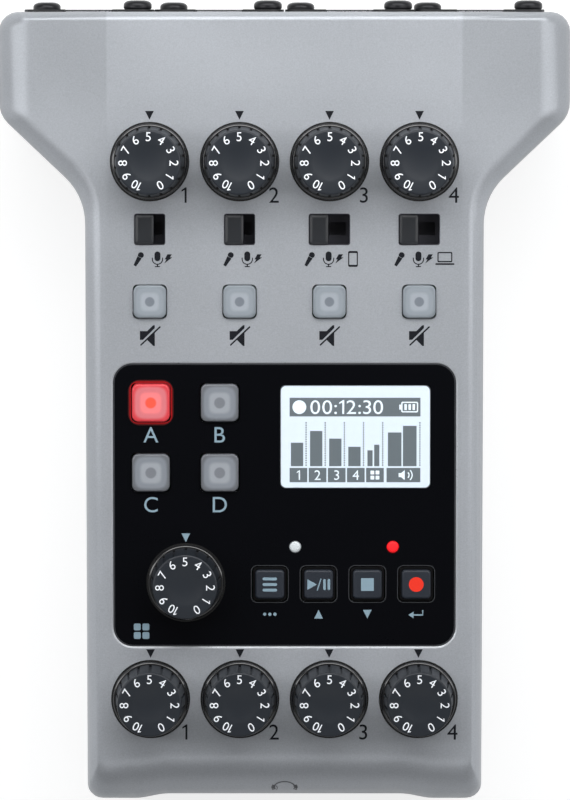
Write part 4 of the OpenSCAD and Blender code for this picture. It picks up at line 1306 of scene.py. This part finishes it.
class InputSign(Enum):
    """Signs under the input switches."""

    STAGE_MIC = "stage microphone"
    STUDIO_MIC = "studio microphone"
    SPARK = "supply voltage"
    TELEPHONE = "telephone"
    COMPUTER = "computer"

    def draw(self, draft: Draft, at: Point) -> None:
        """Draws the sign flat into a draft, about a middle."""
        if self is InputSign.STAGE_MIC:
            handle = [(-0.28, -1.55), (0.28, -1.55), (0.46, 0.35), (-0.46, 0.35)]
            head = arc((0, 0.85), 0.58, -50, 230, 14)
            draft.flat(moved(handle, at, -30), moved(head, at, -30))
        elif self is InputSign.STUDIO_MIC:
            shapes = ((1.16, 1.9, 0.57, 0.5), (1.0, 0.2, 0.05, -1.5), (0.22, 0.5, 0.05, -1.2))
            draft.flat(*(moved(rounded(wide, long, corner, (0, y)), at) for wide, long, corner, y in shapes))
            draft.strip(moved([(-1.0, 0.25), *arc((0, -0.05), 1.0, 180, 360, 12), (1.0, 0.25)], at), 0.2)
        elif self is InputSign.SPARK:
            bolt = [(-0.1, 0.9), (0.75, 0.9), (0.4, 0.3), (0.85, 0.3), (-0.75, -0.9), (-0.3, -0.1), (-0.65, -0.1)]
            draft.flat(moved(bolt, at))
        elif self is InputSign.TELEPHONE:
            draft.band(moved(rounded(1.9, 3.1, 0.3), at), moved(rounded(1.45, 2.3, 0.1), at))
            draft.flat(moved(rounded(0.5, 0.14, 0.05, (0, -1.35)), at))
        else:
            sides = (rounded(2.9, 2.0, 0.25, (0, 0.35)), rounded(2.45, 1.5, 0.1, (0, 0.35)))
            draft.band(*(moved(side, at) for side in sides))
            draft.flat(moved(rounded(3.7, 0.32, 0.14, (0, -1.0)), at))


@dataclass
class Signs:
    """What is printed on the deck, the panel and the front."""

    pointer_size: float = 1.7
    pointer_rise: float = 9.0
    pad_pointer_rise: float = 8.8
    figure_height: float = 3.0
    figure_offset: Point = (6.7, -6.5)
    letter_height: float = 3.0
    letter_drop: float = 6.3
    sign_drop: float = 5.75
    mute_drop: float = 6.7
    tile: float = 1.35
    tile_corner: float = 0.3
    tile_pitch: float = 1.68
    tile_place: Point = (-8.7, -9.6)
    caption_drop: float = 5.95
    headset_radius: float = 2.1
    headset_y: float = -76.9
    headset_lift: float = 0.00002
    headset_flat: float = 0.62

    def build(self) -> None:
        """Makes the prints."""
        self.put("deck_signs", self.deck_signs(), 0.0, INK)
        self.put("panel_signs", self.panel_signs(), DECK.top(PANEL_NODE), PANEL_INK)
        self.headset()

    def put(self, name: str, draft: Draft, level: float, finish: Finish) -> None:
        """Turns a flat draft in deck places into a print.

        Args:
            name: The piece's name.
            draft: The flat draft.
            level: Height of the surface it lies on.
            finish: Its ink.
        """
        piece(name, draft.printed(name), DECK.at((0, 0), level + PRINT_LIFT), finish)

    def pointer(self, tip_down: bool = True) -> Outline:
        """Gives a small triangle about its middle."""
        half, way = self.pointer_size / 2, -1 if tip_down else 1
        return [(0, way * half), (-way * half, -way * half), (way * half, -way * half)]

    def deck_signs(self) -> Draft:
        """Draws the pointers, channel figures, input signs and mute signs."""
        draft = Draft()
        for row in ("gain_knob", "phones_knob"):
            for channel, node in zip(CHANNELS, numbered(row)):
                x, y = DECK.middle(node)
                draft.flat(moved(self.pointer(), (x, y + self.pointer_rise)))
                at = (x + self.figure_offset[0], y + self.figure_offset[1])
                draft.words(str(channel), self.figure_height, at)
        plain = [(InputSign.STAGE_MIC, -2.15), (InputSign.STUDIO_MIC, 1.5), (InputSign.SPARK, 3.55)]
        wide = [(InputSign.STAGE_MIC, -3.85), (InputSign.STUDIO_MIC, -0.15), (InputSign.SPARK, 1.9)]
        rows = [plain, plain, [*wide, (InputSign.TELEPHONE, 4.6)], [*wide, (InputSign.COMPUTER, 5.0)]]
        for mute, switch, signs in zip(numbered("mute_button"), numbered("input_switch"), rows):
            x, y = DECK.middle(mute)[0], DECK.middle(switch)[1] - self.sign_drop
            for sign, offset in signs:
                sign.draw(draft, (x + offset, y))
        horn = [(-1.95, -0.75), (-1.35, -0.75), (0.35, 0.93), (0.95, 1.55), (0.95, 2.1), (0.65, 2.1),
                (-0.55, 0.95), (-1.95, 0.95)]
        lower = [(-0.55, -0.75), (0.65, -1.95), (0.95, -1.95), (0.95, 0.85)]
        for node in numbered("mute_button"):
            x, y = DECK.middle(node)
            at = (x, y - self.mute_drop)
            draft.flat(*(moved(shape, at) for shape in (horn, lower, bar((-1.75, -1.75), (1.95, 1.75), 0.3))))
        return draft

    def panel_signs(self) -> Draft:
        """Draws the pad letters, the pad knob's pointer, the tile sign and the key captions."""
        draft = Draft()
        for letter in "abcd":
            x, y = DECK.middle(f"sound_pad_{letter}")
            draft.words(letter.upper(), self.letter_height, (x, y - self.letter_drop))
        x, y = DECK.middle("pad_level_knob")
        draft.flat(moved(self.pointer(), (x, y + self.pad_pointer_rise)))
        for i in (-0.5, 0.5):
            for j in (-0.5, 0.5):
                at = (x + self.tile_place[0] + i * self.tile_pitch, y + self.tile_place[1] + j * self.tile_pitch)
                draft.flat(rounded(self.tile, self.tile, self.tile_corner, at))
        captions = {
            KeySign.LINES: [disc((x, 0), 0.32, 16) for x in (-1.0, 0.0, 1.0)],
            KeySign.PLAY_PAUSE: [self.pointer(tip_down=False)],
            KeySign.STOP: [self.pointer()],
            KeySign.RECORD: [[(-1.5, -0.15), (-0.5, -0.8), (-0.5, 0.5)]],
        }
        for sign, outlines in captions.items():
            x, y = DECK.middle(sign.value)
            draft.flat(*(moved(outline, (x, y - self.caption_drop)) for outline in outlines))
        x, y = DECK.middle(KeySign.RECORD.value)
        stem = [(1.3, 0.8), (1.3, -0.15), (-0.6, -0.15)]
        draft.strip(moved(stem, (x, y - self.caption_drop)), 0.28)
        return draft

    def headset(self) -> None:
        """Prints a faint headset sign on the rounded front, laid on the case's own surface."""
        case = frame["nodes"]["top_case"].data
        tree = BVHTree.FromPolygons([v.co for v in case.vertices], [p.vertices for p in case.polygons])
        draft = Draft()
        band = arc((0, 0), self.headset_radius, 15, 165, 18)
        draft.strip([(x, y * self.headset_flat) for x, y in band], 0.24)
        for side in (-1, 1):
            cup = arc((side * self.headset_radius, -0.05), 0.5, -60, 60, 4)
            draft.strip([(side * 2.05, 0.55), (side * 2.25, 0.1), (side * 2.05, -0.45)], 0.75)
            draft.strip([(x - side * 0.2, y) for x, y in cup], 0.15)
        bmesh.ops.subdivide_edges(draft.bm, edges=draft.bm.edges[:], cuts=2, use_grid_fill=True)
        mesh = draft.mesh("headset")
        for vertex in mesh.vertices:
            above = Vector((vertex.co.x * MM, (self.headset_y + vertex.co.y) * MM, 0.1))
            spot, normal, _, _ = tree.ray_cast(above, Vector((0, 0, -1)))
            vertex.co = spot + normal * self.headset_lift
        piece("headset_sign", mesh, Matrix.Identity(4), FAINT_INK)


@dataclass
class Display:
    """The graphics on the display: a status bar, level bars, dotted rules and a row of labels."""

    node: str = "display_window"
    left: float = -12.85
    right: float = 12.7
    status: tuple[float, float] = (4.0, 7.65)
    base_line: float = -5.75
    label: tuple[float, float] = (-8.9, -6.1)
    label_width: float = 3.45
    label_middle: float = 1.72
    pitch: float = 3.74
    levels: Sequence[float] = (4.6, 6.9, 5.4, 3.8)
    thin_levels: Sequence[float] = (3.1, 4.2)
    out_levels: Sequence[float] = (6.6, 7.9)
    rule_height: float = 8.9
    dot: float = 0.26
    dot_pitch: float = 0.46

    def build(self) -> None:
        """Makes the dark and the bright graphics and the dotted rules."""
        level = DECK.top(self.node) + PRINT_LIFT
        place = DECK.at(DECK.middle(self.node), level)
        piece("display_graphics", self.dark().printed("display_dark"), place, SCREEN_INK)
        above = DECK.at(DECK.middle(self.node), level + PRINT_THICKNESS)
        piece("display_figures", self.light().printed("display_light"), above, SCREEN_LIGHT)
        half = self.dot / 2
        one_dot = Draft().flat(block(-half, half, -half, half)).printed("dot")
        dots = PLACES.grow(places_mesh(self.rule_dots()), one_dot, SCREEN_INK)
        piece("display_rules", dots, place, SCREEN_INK)

    def column(self, index: int) -> float:
        """Gives the left edge of a column."""
        return self.left + index * self.pitch

    def dark(self) -> Draft:
        """Draws the status bar, the levels and the label boxes."""
        draft = Draft().flat(block(self.left, self.right, *self.status))
        rows = (
            (self.levels, self.column(0) + 0.25, self.pitch, 2.4),
            (self.thin_levels, self.column(4) + 0.25, 1.32, 1.0),
            (self.out_levels, self.column(5) + 0.5, 2.95, 2.65),
        )
        for levels, start, step, width in rows:
            for i, level in enumerate(levels):
                x = start + step * i
                draft.flat(block(x, x + width, self.base_line, self.base_line + level))
        for i in range(5):
            draft.flat(block(self.column(i), self.column(i) + self.label_width, *self.label))
        return draft.flat(block(self.column(5) + 0.25, self.right, *self.label))

    def light(self) -> Draft:
        """Draws the record dot, the time, the battery and the labels in their boxes."""
        middle = sum(self.status) / 2
        draft = Draft().flat(disc((self.left + 1.9, middle), 1.35))
        draft.words("00:12:30", 2.75, (-1.7, middle), width=14.2)
        shell = (self.right - 2.1, middle)
        draft.band(rounded(3.3, 2.1, 0.3, shell), rounded(2.8, 1.6, 0.15, shell))
        draft.flat(rounded(0.35, 1.0, 0.08, (self.right - 3.95, middle)))
        for i in range(3):
            draft.flat(rounded(0.5, 1.15, 0.05, (self.right - 2.9 + 0.8 * i, middle)))
        y = sum(self.label) / 2
        for i, channel in enumerate(CHANNELS):
            draft.words(str(channel), 1.9, (self.column(i) + self.label_middle, y))
        for i in (-0.5, 0.5):
            for j in (-0.5, 0.5):
                draft.flat(rounded(0.75, 0.75, 0.1, (self.column(4) + self.label_middle + i, y + j)))
        horn = [(0, -0.4), (0.5, -0.4), (1.2, -1.0), (1.2, 1.0), (0.5, 0.4), (0, 0.4)]
        at = (self.column(5) + 2.6, y)
        draft.flat(moved(horn, at))
        for radius in (0.75, 1.35):
            draft.strip(moved(arc((1.3, 0), radius, -45, 45, 8), at), 0.22)
        return draft

    def rule_dots(self) -> Ring:
        """Gives the places of the dots along the rules between the levels."""
        rules = [self.column(i) - 0.52 for i in range(1, 6)] + [self.right - 0.1]
        count = int(self.rule_height / self.dot_pitch)
        return [(x, self.base_line + 0.2 + k * self.dot_pitch, 0.0) for x in rules for k in range(count)]


@dataclass
class Fasteners:
    """The pan-head screws at the rear and the contacts in the microphone sockets."""

    head_radius: float = 2.75
    head_height: float = 1.75
    cross_width: float = 0.7
    cross_reach: float = 1.35
    cross_depth: float = 0.6
    contact_ring: float = 4.4
    contact_turns: Sequence[float] = (35, 145, 270)
    contact_drop: float = 1.0
    contact_profile: Sequence[Point] = ((1.22, -9.0), (1.22, 0.0), (1.05, 0.1), (0.9, 0.0), (0.9, -8.6))
    socket_drop: float = 20.0
    screw_offset: Point = (9.5, 12.0)
    flange: float = 0.5

    def build(self) -> None:
        """Makes the rear screws and the contacts."""
        edge = DECK.box("xlr_screws")[1].y - self.head_height - self.flange
        out = DECK.at((0, edge)) @ Matrix.Rotation(math.radians(-90), 4, "X")
        middles = [DECK.middle(node)[0] for node in numbered("xlr_latch")]
        dx, dz = self.screw_offset
        rear = [(x + s * dx, self.socket_drop - s * dz, self.flange) for x in middles for s in (-1, 1)]
        screws = PLACES.grow(places_mesh(rear), self.screw(), BLACK_STEEL, spread=math.pi)
        piece("rear_screws", screws, out, BLACK_STEEL, replaces=["xlr_screws"])
        ring = [polar(self.contact_ring, -turn) for turn in self.contact_turns]
        contacts = [(x + px, self.socket_drop + py, -self.contact_drop) for x in middles for px, py in ring]
        contact = Draft().skin(lathe(self.contact_profile, 20)).mesh("contact")
        piece("socket_contacts", PLACES.grow(places_mesh(contacts), contact, BRASS), out, BRASS)

    def screw(self) -> Mesh:
        """Makes a pan-head screw with a cross recess, its head upwards and its seat at z 0."""
        head, high = self.head_radius, self.head_height
        profile = [
            (0, -6.4), (0.9, -6.4), (1.25, -5.6), (1.25, 0.0), (head - 0.25, 0.0), (head - 0.06, 0.15),
            (head, 0.4), (head, high - 0.85), (head - 0.12, high - 0.55), (head - 0.4, high - 0.28),
            (head - 0.9, high - 0.08), (head - 1.4, high), (0, high),
        ]
        body = show(bpy.data.objects.new("screw", Draft().revolve(profile, 40).mesh("screw")))
        reach, half, deep = self.cross_reach, self.cross_width / 2, high - self.cross_depth
        arm = [(reach, -half), (reach, half), (half, half)]
        cross = [p for k in range(4) for p in moved(arm, (0, 0), 90 * k)]
        rings = [lifted(moved(cross, (0, 0), size=share), z) for share, z in ((0.55, deep), (1.1, high + 0.4))]
        cutter = show(bpy.data.objects.new("cross", Draft().skin(rings).mesh("cross")))
        cut = body.modifiers.new("cross", "BOOLEAN")
        cut.operation, cut.object, cut.solver = "DIFFERENCE", cutter, "EXACT"
        made = plain_mesh(body)
        for thing in (body, cutter):
            bpy.data.objects.remove(thing)
        return made


@dataclass(frozen=True)
class Softbox:
    """A soft lamp that faces the recorder: its place, its width and length, and its power in watts."""

    name: str
    place: tuple[float, float, float]
    size: Point
    power: float
    target: tuple[float, float, float] = (0, 0, 0.02)

    def build(self) -> None:
        """Makes the lamp."""
        data = bpy.data.lights.new(self.name, "AREA")
        data.shape, data.energy = "RECTANGLE", self.power
        data.size, data.size_y = self.size
        made = show(bpy.data.objects.new(self.name, data))
        made.location = self.place
        made.visible_camera = False
        way = Vector(self.target) - Vector(self.place)
        made.rotation_euler = way.to_track_quat("-Z", "Y").to_euler()


@dataclass
class Studio:
    """The floor, the light and the camera."""

    frame_px: tuple[int, int] = (570, 800)
    focal_px: float = 4575.0
    sensor: float = 36.0
    camera: tuple[float, float, float] = (0.0001, -0.00045, 0.928)
    clip: tuple[float, float] = (0.01, 20.0)
    floor_size: float = 6.0
    floor_colour: Colour = srgb(150, 151, 152)
    floor_roughness: float = 0.9
    floor_glow: float = 0.8
    room_colour: Colour = (0.94, 0.97, 1.0)
    rear_share: float = 0.2
    rear_reach: tuple[float, float] = (-0.7, 0.9)
    room_share: float = 0.03
    ceiling_share: float = 0.16
    wall_reach: tuple[float, float] = (0.5, 0.02)
    lamps: Sequence[Softbox] = (
        Softbox("rear_softbox", (0.02, 0.22, 0.28), (0.58, 0.18), 1.3),
        Softbox("left_softbox", (-0.34, 0.04, 0.33), (0.12, 0.45), 0.54),
        Softbox("right_softbox", (0.34, 0.04, 0.33), (0.12, 0.45), 0.46),
        Softbox("front_softbox", (0.0, -0.29, 0.42), (0.5, 0.1), 0.2),
    )

    def build(self) -> None:
        """Makes the floor, lamps, world and camera."""
        bpy.context.scene.view_settings.view_transform = "Standard"
        self.floor()
        self.world()
        for lamp in self.lamps:
            lamp.build()
        self.place_camera()

    def seen_ray(self, wiring: Wiring) -> NodeSocket:
        """Gives 1 for what the camera sees, also in mirrors and through glass, and 0 for other rays."""
        rays = wiring.add("ShaderNodeLightPath")
        either = wiring.math("MAXIMUM", rays.outputs["Is Camera Ray"], rays.outputs["Is Glossy Ray"])
        return wiring.math("MAXIMUM", either, rays.outputs["Is Transmission Ray"])

    def floor(self) -> None:
        """Makes the plain pale floor, which keeps the recorder's shadow."""
        half = self.floor_size / 2
        mesh = bpy.data.meshes.new("floor")
        mesh.from_pydata(lifted(block(-half, half, -half, half), 0), [], [range(4)])
        material, wiring, shader = new_material("pale_floor")
        fill(shader, {"Base Color": opaque(self.floor_colour), "Roughness": self.floor_roughness,
                      "Emission Color": (1, 1, 1, 1)})
        glow = wiring.math("MULTIPLY", self.seen_ray(wiring), self.floor_glow)
        wiring.link(glow, shader.inputs["Emission Strength"])
        mesh.materials.append(material)
        made = show(bpy.data.objects.new("floor", mesh))

    def world(self) -> None:
        """Makes the light of a white room with a dim ceiling, brighter at the rear."""
        world = bpy.data.worlds.new("white_room")
        world.use_nodes = True
        bpy.context.scene.world = world
        nodes = world.node_tree.nodes
        wiring = Wiring(world.node_tree)
        _, along, up = wiring.split(wiring.add("ShaderNodeTexCoord").outputs["Generated"])
        lighting = nodes["Background"]
        fill(lighting, {"Color": opaque(self.room_colour)})
        rear = wiring.math("MULTIPLY", wiring.ramp(along, *self.rear_reach), self.rear_share)
        wiring.link(wiring.math("ADD", rear, self.room_share), lighting.inputs["Strength"])
        seen = wiring.add("ShaderNodeBackground")
        wall = wiring.ramp(up, *self.wall_reach)
        wiring.link(wiring.math("MAXIMUM", wall, self.ceiling_share), seen.inputs["Strength"])
        mix = wiring.add("ShaderNodeMixShader")
        for i, source in enumerate((self.seen_ray(wiring), lighting.outputs[0], seen.outputs[0])):
            wiring.link(source, mix.inputs[i])
        wiring.link(mix.outputs[0], nodes["World Output"].inputs["Surface"])

    def place_camera(self) -> None:
        """Places the camera straight above the recorder, with the rear at the top of the frame."""
        data = bpy.data.cameras.new("camera")
        data.sensor_width = self.sensor
        data.lens = self.focal_px / max(self.frame_px) * self.sensor
        data.clip_start, data.clip_end = self.clip
        made = show(bpy.data.objects.new("camera", data))
        made.location = self.camera
        bpy.context.scene.camera = made


def dress_nodes() -> None:
    """Gives every CAD node that stays in view its finish."""
    for finish, nodes in NODE_FINISHES.items():
        for node in nodes:
            wear(frame["nodes"][node].data, finish)
            LOG.info("%s: %s", node, finish.name)


def main() -> None:
    """Builds the recorder's sub-assemblies in order, then the studio."""
    logging.basicConfig(level=logging.INFO, format="%(name)s: %(message)s")
    dress_nodes()
    for part in (Case(), Knobs(), Levers(), Buttons(), Signs(), Display(), Fasteners(), Studio()):
        LOG.info("building %s", type(part).__name__)
        part.build()


if __name__ == "__main__":
    main()
